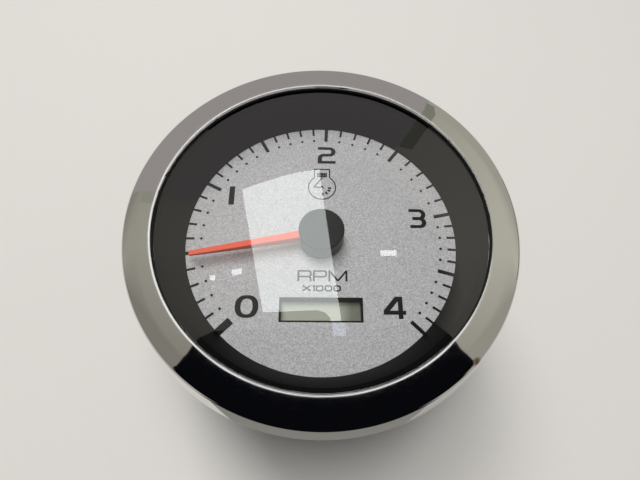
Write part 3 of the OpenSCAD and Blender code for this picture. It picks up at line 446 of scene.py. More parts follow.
def solder_mask():
    """Glass-epoxy board under green solder mask: a wet gloss over the weave of the cloth."""
    material, tree, shader = finish_of("solder_mask_on_glass_epoxy", "#14522F", roughness=0.3,
                                       Coat_Weight=0.5)
    grain(tree, shader, size=0.6 * MM, relief=0.01 * MM, shades=("#124A2A", "#1B6338"), gloss=(0.25, 0.4))
    return material


def lamp_glass():
    """Thin blown glass of the lamp: faintly warm and clear, with slight waves."""
    material, tree, shader = finish_of("blown_lamp_glass", "#F6F2E4", roughness=0.05,
                                       Transmission_Weight=1.0, IOR=1.5)
    grain(tree, shader, size=3.0 * MM, relief=0.01 * MM)
    return material


FINISHES = {
    # Compounded rubber: dull, and a little lighter where it is scuffed
    "gasket_rubber": moulded("black_nitrile_rubber", "#141414", roughness=0.75, texture=0.4 * MM,
                             relief=0.01 * MM, shades=("#101010", "#1E1E1D")),
    # Matt styrene: nearly no shine, so that the ring frames the dial in plain black
    "ring_black": moulded("matt_black_styrene", "#0E0E0E", roughness=0.5, texture=0.5 * MM, relief=0.0,
                          Specular_IOR_Level=0.08),
    # Screen ink: flat black with the mesh's faint grain
    "print_black": moulded("black_screen_ink", "#1B1B1C", roughness=0.7, texture=0.2 * MM,
                           relief=0.002 * MM, shades=("#161617", "#212122"), Specular_IOR_Level=0.2),
    # Satin styrene: a deep black collar with a faint sheen
    "frame_black": moulded("satin_black_styrene", "#0C0C0C", roughness=0.5, texture=0.3 * MM,
                           relief=0.006 * MM, Specular_IOR_Level=0.15),
    # Moulded silicone: soft, dull and pink
    "strip_rubber": moulded("silicone_contact_strip", "#B9646B", roughness=0.6, texture=0.2 * MM,
                            relief=0.01 * MM, shades=("#B05A62", "#C87880")),
    # Sprayed fluorescent paint: nearly flat, it keeps its full colour from every side
    "pointer_red": moulded("red_orange_pointer_paint", "#F76B54", roughness=0.55, texture=0.25 * MM,
                           relief=0.002 * MM, shades=("#F2634C", "#FB735C"), Specular_IOR_Level=0.3),
    # Satin moulding: black, and a clear grey where its top mirrors the room
    "cap_black": moulded("satin_black_cap_moulding", "#101515", roughness=0.4, texture=0.3 * MM, relief=0.0,
                         shades=("#0E1313", "#131818"), Specular_IOR_Level=0.4),
    # Ground steel: bright, with the wheel's fine marks round it
    "spindle_steel": metal("ground_steel", "#B9BABC", roughness=0.2, texture=0.2 * MM, relief=0.001 * MM,
                           stretch=(1, 1, 8)),
    # Pressed ferrite: dark, dull and stony
    "magnet_grey": moulded("pressed_ferrite", "#3A3838", roughness=0.6, texture=0.3 * MM, relief=0.02 * MM,
                           shades=("#302E2E", "#484646")),
    # Nylon: warm ivory with a soft sheen
    "bobbin_ivory": moulded("ivory_nylon", "#DAD5C4", roughness=0.45, shades=("#D2CCB9", "#E2DDCD")),
    # Enamelled wire: varnished copper that changes from turn to turn
    "coil_copper": metal("enamelled_copper_wire", "#B5622F", roughness=0.3, texture=0.25 * MM,
                         relief=0.05 * MM, shades=("#9A4E22", "#CC7A42")),
    # Turned brass: yellow and bright, with the tool's marks round it
    "bush_brass": metal("turned_brass", "#CDA65A", roughness=0.25, texture=0.2 * MM, relief=0.003 * MM,
                        shades=("#BE964B", "#D8B46C"), stretch=(1, 1, 6)),
    # Drawn soft iron: grey, with the die's long marks down its side
    "shield_steel": metal("drawn_soft_iron", "#9B9C9D", roughness=0.35, texture=0.3 * MM, relief=0.005 * MM,
                          shades=("#8A8B8C", "#A8A9AA"), stretch=(1, 1, 0.1)),
    # Polycarbonate: a clean white that spreads the lamp's light
    "box_white": moulded("white_polycarbonate", "#EDEDE8", roughness=0.4),
    "board_green": solder_mask(),
    # Moulded epoxy: dull black with a fine grit
    "chip_black": moulded("moulded_epoxy", "#1B1B1C", roughness=0.55, texture=0.12 * MM, relief=0.01 * MM),
    # Shrink sleeve: dark blue, smooth and a little glossy
    "capacitor_blue": moulded("shrink_sleeve", "#23283F", roughness=0.3, texture=0.5 * MM,
                              relief=0.004 * MM),
    # Thermoset: bright blue with the mould's satin
    "trimmer_blue": moulded("blue_thermoset", "#1F4F8F", roughness=0.4),
    # Zinc plate on steel: pale grey and bright
    "screw_steel": metal("zinc_plated_steel", "#B4B6B8", roughness=0.3, texture=0.4 * MM, relief=0.003 * MM,
                         shades=("#A5A8AA", "#C2C3C4")),
    # Glass-filled nylon: dull black with a fine leathery spark texture
    "can_black": moulded("glass_filled_nylon", "#1D1D1E", roughness=0.5, texture=0.45 * MM,
                         relief=0.03 * MM, shades=("#19191A", "#252526")),
    # Rolled brass: a warm satin, with the die's marks round it
    "stud_brass": metal("brass_threads", "#C9A65E", roughness=0.27, texture=0.3 * MM, relief=0.003 * MM,
                        shades=("#B8934A", "#D6B673"), stretch=(1, 1, 4)),
    # Zinc plate on strip steel: cloudy blue-grey with a soft satin shine
    "bracket_steel": metal("zinc_plated_strip", "#AEB0B1", roughness=0.33, texture=1.6 * MM,
                           relief=0.006 * MM, shades=("#9C9FA1", "#C0C2C3")),
    # Nylon: yellowed ivory with the mould's satin
    "holder_ivory": moulded("ivory_lamp_holder_nylon", "#DDD6BF", roughness=0.45, texture=0.3 * MM,
                            relief=0.01 * MM, shades=("#D5CDB4", "#E5DFCA")),
    # Acetal: waxy white
    "calibrator_white": moulded("white_acetal", "#E2E2DC", roughness=0.35, texture=0.3 * MM,
                                relief=0.006 * MM, shades=("#D9D9D2", "#EAEAE5")),
    "bezel_chrome": chrome_plate(),
    "lens_glass": float_glass(),
    "dial_silver": silver_lacquer(),
    "display_grey": display_glass(),
    "bulb_glass": lamp_glass(),
}


def dress_nodes():
    """Gives every node its own finish in place of the frame's plain colour."""
    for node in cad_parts.values():
        for i, plain in enumerate(list(node.data.materials)):
            node.data.materials[i] = FINISHES[plain.name.split(".")[0]]


# Meshes


def arc(centre, radius, start, end, steps):
    """Points along an arc, with its angles in degrees."""
    turns = [math.radians(start + (end - start) * i / steps) for i in range(steps + 1)]
    return [(centre[0] + radius * math.cos(t), centre[1] + radius * math.sin(t)) for t in turns]


def solid(name, shape):
    """A bmesh as a plain mesh with its faces outwards."""
    bmesh.ops.recalc_face_normals(shape, faces=shape.faces)
    mesh = bpy.data.meshes.new(name)
    shape.to_mesh(mesh)
    shape.free()
    return mesh


def dressed(name, mesh, slot, body, *nodes):
    """One smooth-shaded piece that rides on its body in place of its nodes."""
    mesh.polygons.foreach_set("use_smooth", [True] * len(mesh.polygons))
    mesh.set_sharp_from_angle(angle=math.radians(SHARP_ANGLE))
    made = placed(name, mesh)
    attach(made, body)
    if nodes:
        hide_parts(*nodes)
    return made


def piece(name, shape, slot, body, *nodes):
    """One finished piece from a bmesh."""
    mesh = solid(name, shape)
    mesh.materials.append(FINISHES[slot])
    return dressed(name, mesh, slot, body, *nodes)


def joined(rings):
    """One closed skin through rings of points, the last of them joined to the first."""
    shape = bmesh.new()
    rings = [[shape.verts.new(at) for at in ring] for ring in rings]
    for here, there in zip(rings, rings[1:] + rings[:1]):
        for j in range(len(here)):
            k = (j + 1) % len(here)
            shape.faces.new((here[j], here[k], there[k], there[j]))
    return shape


def revolve(outline, segments=360):
    """Turns a closed outline of radius and height round the axis."""
    turns = [2 * math.pi * i / segments for i in range(segments)]
    shape = joined([[(r * math.cos(t), r * math.sin(t), z) for r, z in outline] for t in turns])
    bmesh.ops.remove_doubles(shape, verts=shape.verts, dist=POLE_WELD)
    return shape


def merged(node):
    """A node's own solid as one clean shape: its loose triangles joined and its flat faces whole."""
    shape = bmesh.new()
    shape.from_mesh(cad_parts[node].data)
    bmesh.ops.remove_doubles(shape, verts=shape.verts, dist=SOLID_WELD)
    bmesh.ops.dissolve_limit(shape, angle_limit=math.radians(FLAT_ANGLE), verts=shape.verts,
                             edges=shape.edges)
    return shape


def eased(made, width):
    """Breaks a piece's sharp edges by a narrow round."""
    bevel = made.modifiers.new("edges", "BEVEL")
    bevel.width = width
    bevel.segments = 2
    bevel.limit_method = "ANGLE"
    bevel.angle_limit = math.radians(EASED_ANGLE)


def own_solids():
    """The can, all that moves on its back, and the pointer with its cap."""
    for name, (node, slot, body, edge) in OWN_SOLIDS.items():
        made = piece(name, merged(node), slot, body, node)
        if edge:
            eased(made, edge)


def bezel_ring():
    """Rolled chrome ring: bead at the lip, face that rolls off to the corner, leaning side, folded rim.
    Points close to both ends of the bead's land keep its shading flat."""
    fall, lean = math.radians(ROLL_FALL), math.radians(SIDE_LEAN)
    fold = Vector((BEZEL_R - FOLD_R, low("bezel") + FOLD_R))
    corner = Vector((0.0, FACE_TOP - ROLL_R + (ROLL_R - CORNER_R) * math.cos(fall)))
    side = (corner.y - fold.y - (FOLD_R - CORNER_R) * math.sin(lean)) / math.cos(lean)
    corner.x = fold.x + (FOLD_R - CORNER_R) * math.cos(lean) - side * math.sin(lean)
    roll = Vector((corner.x - (ROLL_R - CORNER_R) * math.sin(fall), FACE_TOP - ROLL_R))
    roll_end = 90 - ROLL_FALL
    bead_top = FACE_TOP + BEAD_RISE
    inner = (LIP_R + BEAD_EDGE, bead_top - BEAD_EDGE)
    outer = (LIP_R + BEAD_EDGE + BEAD_LAND, bead_top - BEAD_R)
    outline = [(LIP_R, FACE_TOP - SHEET)]
    outline += arc(inner, BEAD_EDGE, 180, 90, steps=6)
    outline += [(inner[0] + BEAD_HOLD, bead_top), (outer[0] - BEAD_HOLD, bead_top)]
    outline += arc(outer, BEAD_R, 90, 0, steps=8)
    outline += [(outer[0] + BEAD_R, FACE_TOP)]
    outline += arc(roll, ROLL_R, 90, roll_end, steps=20)
    outline += arc(corner, CORNER_R, roll_end, SIDE_LEAN, steps=20)
    outline += arc(fold, FOLD_R, SIDE_LEAN, -90, steps=14)
    outline += [(RIM_R, low("bezel")), (RIM_R, low("bezel") + SHEET)]
    outline += arc(fold, FOLD_R - SHEET, -90, SIDE_LEAN, steps=6)
    outline += arc(corner, CORNER_R - SHEET, SIDE_LEAN, roll_end, steps=8)
    outline += arc(roll, ROLL_R - SHEET, roll_end, 90, steps=10)
    piece("bezel_ring", revolve(outline, segments=480), "bezel_chrome", "root", "bezel")


def lens_gasket():
    """Thin rubber ring on the lens, whose broken edge shows inside the lip."""
    inner, outer = LIP_R - GASKET_SHOW, reach("lens_gasket")
    foot, top = low("lens_gasket"), high("lens_gasket")
    outline = [(inner, foot), (outer, foot), (outer, top), (inner + GASKET_EDGE, top),
               (inner, top - GASKET_EDGE)]
    piece("lens_gasket_ring", revolve(outline), "gasket_rubber", "root", "lens_gasket")


def lens():
    """Flat glass disc with broken edges."""
    outer, foot, top = reach("lens"), low("lens"), high("lens")
    outline = [(0, foot), (outer - LENS_EDGE, foot), (outer, foot + LENS_EDGE), (outer, top - LENS_EDGE),
               (outer - LENS_EDGE, top), (0, top)]
    piece("lens_disc", revolve(outline), "lens_glass", "root", "lens")


def panel_gasket():
    """Rubber ring behind the bezel, with a step on which the bezel's folded rim stands."""
    inner, step, outer = BARREL_R + SPIGOT_W + SEAT_GAP / 2, RIM_R - SEAT_GAP, reach("panel_gasket")
    back, rim, front = low("panel_gasket"), low("bezel"), high("panel_gasket")
    outline = [(inner, back), (outer - FINE_EDGE, back), (outer, back + FINE_EDGE), (outer, rim)]
    outline += [(step, rim), (step, front), (inner, front)]
    piece("panel_gasket_ring", revolve(outline), "gasket_rubber", "root", "panel_gasket")


def shadow_cone():
    """Black cone that frames the dial, with a flat land on top and a skirt down to the can's flange."""
    land, outer = LIP_R - RING_LAND, reach("shadow_ring")
    foot, top = low("shadow_ring"), high("shadow_ring")
    outline = [(VIEW_R, foot), (VIEW_R + RING_WALL, foot), (land + RING_WALL, top - RING_WALL)]
    outline += [(outer - RING_WALL, top - RING_WALL), (outer - RING_WALL, FLANGE_TOP), (outer, FLANGE_TOP)]
    outline += [(outer, top), (land + RING_EDGE, top), (land, top - RING_EDGE)]
    piece("shadow_cone", revolve(outline), "ring_black", "root", "shadow_ring")


def fill(shape, centre, loops, drop):
    """Adds a thin solid of ink from closed loops, the first one outside and the rest holes. Strokes that
    cross are printed at small drops from each other, so that no two tops lie in one plane."""
    flat = bmesh.new()
    edges = []
    for loop in loops:
        points = [flat.verts.new(((centre[0] + x) * MM, (centre[1] + y) * MM, INK_LOW)) for x, y in loop]
        edges += [flat.edges.new((points[i - 1], points[i])) for i in range(len(points))]
    bmesh.ops.triangle_fill(flat, edges=edges, use_beauty=True)
    raised = bmesh.ops.extrude_face_region(flat, geom=flat.faces[:])
    lifted = [v for v in raised["geom"] if isinstance(v, bmesh.types.BMVert)]
    bmesh.ops.translate(flat, verts=lifted, vec=(0, 0, INK_HIGH - INK_LOW - drop))
    ink = solid("ink", flat)
    shape.from_mesh(ink)
    bpy.data.meshes.remove(ink)


def pen_line(points, pen, closed=False):
    """Loops round a line drawn with a pen that is wider one way than the other, mitred at its corners. The
    line is measured in pens, so half a pen lies on each side."""
    line = [Vector((x / pen.x, y / pen.y)) for x, y in points]
    sides = ([], [])
    for i, at in enumerate(line):
        before = line[i - 1] if closed or i > 0 else None
        after = line[(i + 1) % len(line)] if closed or i < len(line) - 1 else None
        ways = [(at - before).normalized()] if before is not None else []
        ways += [(after - at).normalized()] if after is not None else []
        along = sum(ways, Vector((0, 0))).normalized()
        out = Vector((-along.y, along.x))
        mitre = 0.5 / max(abs(out.dot(Vector((-ways[0].y, ways[0].x)))), MITRE_LIMIT)
        for side, sign in zip(sides, (1, -1)):
            edge = at + out * mitre * sign
            side.append((edge.x * pen.x, edge.y * pen.y))
    return [sides[0], sides[1]] if closed else [sides[0] + sides[1][::-1]]


def bar(left, foot, right, top):
    """Closed loop round a plain bar."""
    return [(left, foot), (right, foot), (right, top), (left, top)]


def figures():
    """The plain figures 0 to 4: the centre of each and its strokes, in millimetres."""
    oval = []
    for i in range(ZERO_STEPS):
        turn = 2 * math.pi * i / ZERO_STEPS
        way = (math.cos(turn), math.sin(turn))
        oval.append([half * math.copysign(abs(w) ** ZERO_POWER, w) for half, w in zip(ZERO_HALF, way)])
    two = [(-2.65, 2.5)] + arc((0.87, 1.25), 1.2, 90, -90, steps=18)
    two += arc((-0.9, -1.12), 1.17, 90, 180, steps=9) + [(-2.07, -2.5), (2.65, -2.5)]
    three_top = [(-2.35, 2.55)] + arc((0.52, 1.28), 1.25, 90, -90, steps=18) + [(-1.45, 0.03)]
    three_low = [(-1.45, -0.02)] + arc((0.52, -1.28), 1.27, 90, -90, steps=18) + [(-2.2, -2.55)]
    four = [(0.1, 3.0), (-3.0, -0.75), (-3.0, -1.86), (0.84, -1.86), (0.84, -3.0), (2.06, -3.0)]
    four += [(2.06, -1.86), (2.83, -1.86), (2.83, -0.8), (2.06, -0.8), (2.06, 3.0)]
    counter = [(0.84, 1.75), (-1.35, -0.8), (0.84, -0.8)]
    strokes = [
        [pen_line(oval, BOLD_ZERO, True)],
        [[bar(-0.78, -3.0, 0.78, 3.0)]],
        [pen_line(two, BOLD)],
        [pen_line(three_top, BOLD), pen_line(three_low, BOLD)],
        [[four, counter]],
    ]
    return list(zip(FIGURES_AT, strokes))


def units():
    """RPM over X1000 in thin wide letters: the lower left corner of each and its strokes, in millimetres."""
    stem = [(0.2, 0.0), (0.2, 2.75)]
    bend = 0.55
    bowl = [(0.0, 2.92)] + arc((2.95, 2.37), bend, 90, 0, steps=6)
    bowl += arc((2.95, 1.86), bend, 0, -90, steps=6) + [(0.0, 1.31)]
    leg = [(3.0, 1.3), (3.4, 1.0), (3.5, 0.0)]
    big_m = [[(0.2, 0.0), (0.2, 3.1)], [(0.2, 3.0), (2.5, 0.15)]]
    big_m += [[(2.5, 0.15), (4.8, 3.0)], [(4.8, 0.0), (4.8, 3.1)]]
    words = []
    for i, letter in enumerate(([stem, bowl, leg], [stem, bowl], big_m)):
        corner = (RPM_AT[0] + i * LETTER_STEP, RPM_AT[1])
        words.append((corner, [pen_line(stroke, FINE) for stroke in letter]))
    cross = [[(0.1, 0.1), (2.2, 1.6)], [(0.1, 1.6), (2.2, 0.1)]]
    one = [[(0.05, 1.35), (0.42, 1.55)], [(0.42, 1.68), (0.42, 0.0)]]
    bend = 0.42
    nought = arc((1.4, 1.1), bend, 90, 0, steps=4) + arc((1.4, 0.57), bend, 0, -90, steps=4)
    nought += arc((0.6, 0.57), bend, 270, 180, steps=4) + arc((0.6, 1.1), bend, 180, 90, steps=4)
    left, foot = THOUSANDS_AT
    for shift, letter in ((0.0, cross), (ONE_AT, one)):
        words.append(((left + shift, foot), [pen_line(stroke, SMALL) for stroke in letter]))
    for shift in NOUGHTS_AT:
        words.append(((left + shift, foot), [pen_line(nought, SMALL, True)]))
    return words


def engine_sign():
    """A plain engine sign: crankcase circle, cylinder head, piston, rod and four marks of speed."""
    case_r, head, head_top = 3.95, 2.25, 6.2
    side = math.degrees(math.acos(head / case_r))
    case = [(head, head_top), (-head, head_top)] + arc((0, 0), case_r, 180 - side, 360 + side, steps=60)
    crank = (-0.05, 0.45)
    rod = [(0.1, 3.4), (-2.3, 0.15), (-0.5, -0.05), crank]
    strokes = [pen_line(case, HAIR, True), pen_line(rod, HAIR), pen_line([crank, (0.5, -0.25)], HAIR)]
    fins, fin_step, fin_half = 6, 0.5, 0.2
    for i in range(fins):
        x = fin_step * (i - (fins - 1) / 2)
        strokes.append([bar(x - fin_half, 3.5, x + fin_half, 4.95)])
    piston = 1.4
    strokes += [[bar(-piston, 3.7, piston, 3.95)], [bar(-piston, 4.5, piston, 4.75)]]
    for turn in (-6, -28, -56, -84):
        way = Vector((math.cos(math.radians(turn)), math.sin(math.radians(turn))))
        strokes.append(pen_line([way * 1.85, way * 2.7], DASH))
    return [(SIGN_AT, strokes)]


def lettering():
    """Everything printed on the dial besides its scale."""
    shape = bmesh.new()
    for centre, strokes in figures() + units() + engine_sign():
        for i, loops in enumerate(strokes):
            fill(shape, centre, loops, i % INK_STEPS * INK_STEP)
    piece("dial_lettering", shape, "print_black", "root")


def set_out(name, places, draw, inputs, slot, body, *nodes):
    """Like pieces at several places as one plain piece, made by Geometry Nodes. One of them is what draw
    adds to the tree, and each input has its kind and its value."""
    tree = bpy.data.node_groups.new(name + "_nodes", "GeometryNodeTree")
    face = tree.interface
    face.new_socket("Geometry", in_out="OUTPUT", socket_type="NodeSocketGeometry")
    face.new_socket("Geometry", in_out="INPUT", socket_type="NodeSocketGeometry")
    values = {}
    for label, (kind, value) in {**inputs, "Finish": ("Material", FINISHES[slot])}.items():
        socket = face.new_socket(label, in_out="INPUT", socket_type="NodeSocket" + kind)
        values[socket.identifier] = value
    given = add(tree, "NodeGroupInput").outputs
    one = draw(tree, given)
    spread = add(tree, "GeometryNodeInstanceOnPoints", {"Points": given["Geometry"], "Instance": one})
    real = add(tree, "GeometryNodeRealizeInstances", {"Geometry": spread.outputs["Instances"]})
    done = add(tree, "GeometryNodeSetMaterial", {"Geometry": real.outputs["Geometry"],
                                                 "Material": given["Finish"]})
    add(tree, "NodeGroupOutput", {0: done.outputs["Geometry"]})
    holder = placed(name + "_holder", points_mesh(name + "_places", places))
    modifier = holder.modifiers.new("copies", "NODES")
    modifier.node_group = tree
    for key, value in values.items():
        modifier[key] = value
    graph = bpy.context.evaluated_depsgraph_get()
    mesh = bpy.data.meshes.new_from_object(holder.evaluated_get(graph))
    bpy.data.objects.remove(holder)
    mesh.name = name
    dressed(name, mesh, slot, body, *nodes)


def ridge(tree, given):
    """Nodes of one thread ridge: a small section swept along a helix."""
    core = add(tree, "ShaderNodeMath", {0: given["Radius"], 1: given["Depth"]}, operation="SUBTRACT")
    turns = add(tree, "ShaderNodeMath", {0: given["Length"], 1: given["Pitch"]}, operation="DIVIDE")
    core, turns = core.outputs["Value"], turns.outputs["Value"]
    helix = add(tree, "GeometryNodeCurveSpiral", {"Resolution": TURN_STEPS, "Rotations": turns,
                                                  "Start Radius": core, "End Radius": core,
                                                  "Height": given["Length"]}).outputs["Curve"]
    section = add(tree, "GeometryNodeCurvePrimitiveCircle", {"Resolution": THREAD_SIDES,
                                                             "Radius": given["Depth"]}).outputs["Curve"]
    return add(tree, "GeometryNodeCurveToMesh", {"Curve": helix, "Profile Curve": section,
                                                 "Fill Caps": True}).outputs["Mesh"]


def pattern(tree, given):
    """The node of one piece that is a copy of a pattern."""
    return add(tree, "GeometryNodeObjectInfo", {"Object": given["Pattern"]}).outputs["Geometry"]


def threads(name, places, radius, pitch, start, end):
    """Brass thread ridges at several places, from one level to another."""
    sizes = {"Radius": radius, "Pitch": pitch, "Length": end - start, "Depth": THREAD_DEPTH * pitch}
    inputs = {label: ("Float", size) for label, size in sizes.items()}
    set_out(name, [(x, y, start) for x, y in places], ridge, inputs, "stud_brass", "root")


def copies(name, mesh, places, slot, *nodes):
    """Copies of one mesh at several places, in place of their nodes."""
    source = placed(name + "_pattern", mesh)
    inputs = {"Pattern": ("Object", source)}
    set_out(name, [(x, y, 0) for x, y in places], pattern, inputs, slot, "root", *nodes)
    bpy.data.objects.remove(source)


def thread_core(radius, pitch):
    """Radius of a stud's blank under its threads."""
    return radius - THREAD_DEPTH * pitch - THREAD_GAP


def stud_tip(core, tip):
    """Outline of a stud's chamfered tip."""
    return [(0, tip), (core - CHAMFER / 2, tip), (core, tip + CHAMFER / 2)]


def mounting_studs():
    """Two mounting studs: turned blanks with rolled threads."""
    places = [(-STUD_AT, 0), (STUD_AT, 0)]
    tip, top = low("mounting_studs"), high("mounting_studs")
    core = thread_core(STUD_R, STUD_PITCH)
    blank = stud_tip(core, tip) + [(core, STUD_SEAT), (STUD_HEAD_R, STUD_SEAT), (STUD_HEAD_R, top), (0, top)]
    blank = solid("stud_blank", revolve(blank, segments=48))
    copies("mounting_stud_blanks", blank, places, "stud_brass", "mounting_studs")
    threads("mounting_stud_threads", places, STUD_R - THREAD_GAP, STUD_PITCH, tip + STUD_PITCH,
            STUD_SEAT - STUD_PITCH)


def terminals():
    """Four terminal studs, each with a plain neck, a head and a pin up to the board, a nut and a washer."""
    places = [(sx * TERMINAL_AT.x, sy * TERMINAL_AT.y) for sx in (-1, 1) for sy in (-1, 1)]
    tip, top = low("terminal_studs"), high("terminal_studs")
    nut_back = low("terminal_nuts")
    head_top = STUD_SEAT + TERMINAL_HEAD_T
    core = thread_core(TERMINAL_R, TERMINAL_PITCH)
    neck = TERMINAL_R - SEAT_GAP - THREAD_GAP
    blank = stud_tip(core, tip) + [(core, nut_back), (neck, nut_back), (neck, STUD_SEAT)]
    blank += [(TERMINAL_HEAD_R, STUD_SEAT), (TERMINAL_HEAD_R, head_top), (TERMINAL_PIN_R, head_top)]
    blank += [(TERMINAL_PIN_R, top), (0, top)]
    blank = solid("terminal_blank", revolve(blank, segments=48))
    copies("terminal_stud_blanks", blank, places, "stud_brass", "terminal_studs")
    threads("terminal_stud_threads", places, TERMINAL_R - THREAD_GAP, TERMINAL_PITCH, tip + TERMINAL_PITCH,
            nut_back - TERMINAL_PITCH / 2)
    copies("terminal_hex_nuts", hex_nut(), places, "stud_brass", "terminal_nuts")
    copies("terminal_flat_washers", flat_washer(), places, "screw_steel", "terminal_washers")


def hex_nut():
    """Hexagon nut with both faces chamfered and its bore countersunk at the rear."""
    back, front = low("terminal_nuts"), high("terminal_nuts")
    flat = NUT_FLATS / 2
    face_r = flat * NUT_FACE
    bore = TERMINAL_R - SEAT_GAP
    rings = []
    for i in range(NUT_STEPS):
        turn = 2 * math.pi * i / NUT_STEPS
        corner = flat / math.cos(turn % HEX_TURN - HEX_TURN / 2)
        drop = (corner - face_r) * math.tan(math.radians(NUT_BEVEL))
        outline = [(bore, back + CHAMFER / 2), (bore + CHAMFER / 2, back), (face_r, back)]
        outline += [(corner, back + drop), (corner, front - drop), (face_r, front), (bore, front)]
        rings.append([(r * math.cos(turn), r * math.sin(turn), z) for r, z in outline])
    return solid("hex_nut", joined(rings))


def flat_washer():
    """Flat washer whose rear outer edge is broken."""
    back, front = low("terminal_washers"), high("terminal_washers")
    outline = [(TERMINAL_R, back), (WASHER_R - FINE_EDGE, back), (WASHER_R, back + FINE_EDGE)]
    outline += [(WASHER_R, front), (TERMINAL_R, front)]
    return solid("washer", revolve(outline, segments=64))


# Stage


def emitter(name, colour, strength=1.0):
    """Paper, cloth, painted shadow or lamp of the studio, which shines by itself and isn't sampled as a
    light.
    """
    material, tree = bare(name)
    surface(tree, add(tree, "ShaderNodeEmission", {"Color": linear(colour), "Strength": strength}))
    material.cycles.emission_sampling = "NONE"
    return material


def stage_sheet(name, mesh):
    """Puts a mesh of the studio into the scene so that it only shows in reflections."""
    sheet = placed(name, mesh)
    sheet.visible_camera = False
    sheet.visible_diffuse = False
    sheet.visible_shadow = False


def card(name, corners, material):
    """A flat sheet of the studio."""
    mesh = points_mesh(name, corners, [range(len(corners))])
    mesh.materials.append(material)
    stage_sheet(name, mesh)


def layer_height(layer):
    """Level of a layer of sheets overhead. Each layer hangs a little lower than the one before."""
    return CEILING_H - layer * LAYER_STEP


def overhead(name, outline, material, layer):
    """A sheet that hangs level over the gauge."""
    card(name, [(x, y, layer_height(layer)) for x, y in outline], material)


def wall(name, start, end, material, top=CEILING_H):
    """An upright sheet along a line on the table."""
    card(name, [(*start, TABLE), (*end, TABLE), (*end, top), (*start, top)], material)


def olive_paper():
    """Olive paper: brighter to the right, dimmer at the front and far back, and dim to the right in the
    patch that the lens mirrors over the dial."""
    material = emitter("olive_paper", "#C4C1B5")
    tree = material.node_tree
    place = add(tree, "ShaderNodeTexCoord").outputs["Object"]
    across = add(tree, "ShaderNodeSeparateXYZ", {"Vector": place}).outputs
    shares = {}
    for label, (axis, (start, end), (first, last)) in OLIVE_CHANGES.items():
        change = add(tree, "ShaderNodeMapRange", {"Value": across[axis], "From Min": start, "From Max": end,
                                                  "To Min": first, "To Max": last})
        shares[label] = change.outputs["Result"]
    away = add(tree, "ShaderNodeVectorMath", {0: place, 1: DIAL_PATCH_AT}, operation="DISTANCE")
    patch = add(tree, "ShaderNodeMapRange", {"Value": away.outputs["Value"], "From Min": DIAL_PATCH_R[0],
                                             "From Max": DIAL_PATCH_R[1], "To Min": shares["over dial"],
                                             "To Max": 1.0})
    level = patch.outputs["Result"]
    for label in ("right", "back", "far"):
        both = add(tree, "ShaderNodeMath", {0: level, 1: shares[label]}, operation="MULTIPLY")
        level = both.outputs["Value"]
    tree.links.new(level, tree.nodes["Emission"].inputs["Strength"])
    return material


def ceiling(olive, mauve, dark):
    """Papers overhead, in the colours that run round the chrome, and a dark cloth in front."""
    left, right, front, back = -ROOM_SIDE, ROOM_SIDE, ROOM_FRONT, ROOM_BACK
    overhead("olive_ceiling", bar(left, front, right, back), olive, OLIVE_LAYER)
    right_strip = [MAUVE_CORNER, (0.275, 0.728), (0.321, 0.799), (0.36, 0.86), (0.56, 1.19), (1.05, 2.06)]
    overhead("shade_strip_right", right_strip + MAUVE_RIGHT_EDGE[::-1],
             emitter("olive_paper_in_shade", "#8D8E80"), SHADE_LAYER)
    left_strip = [(-0.62, 0.645), (-0.5, 0.6), (-0.43, 0.582), (-0.41, 0.575)]
    left_strip += [(-0.41, 0.54), (-0.43, 0.545), (-0.5, 0.56), (-0.62, 0.6)]
    overhead("shade_strip_left", left_strip, emitter("pale_olive_paper_in_shade", "#A09F95"), SHADE_LAYER)
    outline = [(left, MAUVE_START), (-1.155, 0.905), (-0.867, 0.759), (-0.654, 0.662), (-0.48, 0.594)]
    outline += [(-0.43, 0.582), (-0.343, 0.547), MAUVE_CORNER, (0.301, 0.836)] + MAUVE_RIGHT_EDGE
    outline += [(MAUVE_END, back), (left, back)]
    overhead("mauve_ceiling", outline, mauve, MAUVE_LAYER)
    outline = [(left, front), (right, front), (right, -0.98), (1.119, -0.413), (0.814, -0.218)]
    outline += [(0.604, -0.064), (0.441, 0.074), (0.347, 0.163), (0.323, 0.199), (0.29, 0.228)]
    outline += [(-0.234, 0.207), (-0.268, 0.189), (-0.293, 0.149), (-0.41, 0.024), (-0.567, -0.127)]
    outline += [(-0.77, -0.298), (-1.9, -1.084), (left, -1.15)]
    overhead("dark_ceiling", outline, dark, DARK_LAYER)


def walls(olive, mauve, dark):
    """Upright papers round the gauge, with a dark skirting at the right."""
    left, right, front, back = -ROOM_SIDE, ROOM_SIDE, ROOM_FRONT, ROOM_BACK
    wall("mauve_back_wall", (left, back), (MAUVE_END, back), mauve)
    wall("olive_back_wall", (MAUVE_END, back), (right, back), olive)
    wall("olive_left_wall", (left, front), (left, MAUVE_START), olive)
    wall("mauve_left_wall", (left, MAUVE_START), (left, back), mauve)
    wall("olive_right_wall", (right, front), (right, back), olive)
    wall("dark_front_wall", (left, front), (right, front), dark)
    near = right - LAYER_STEP
    wall("dark_skirting", (near, SKIRTING[0]), (near, SKIRTING[1]), dark, SKIRTING_H)


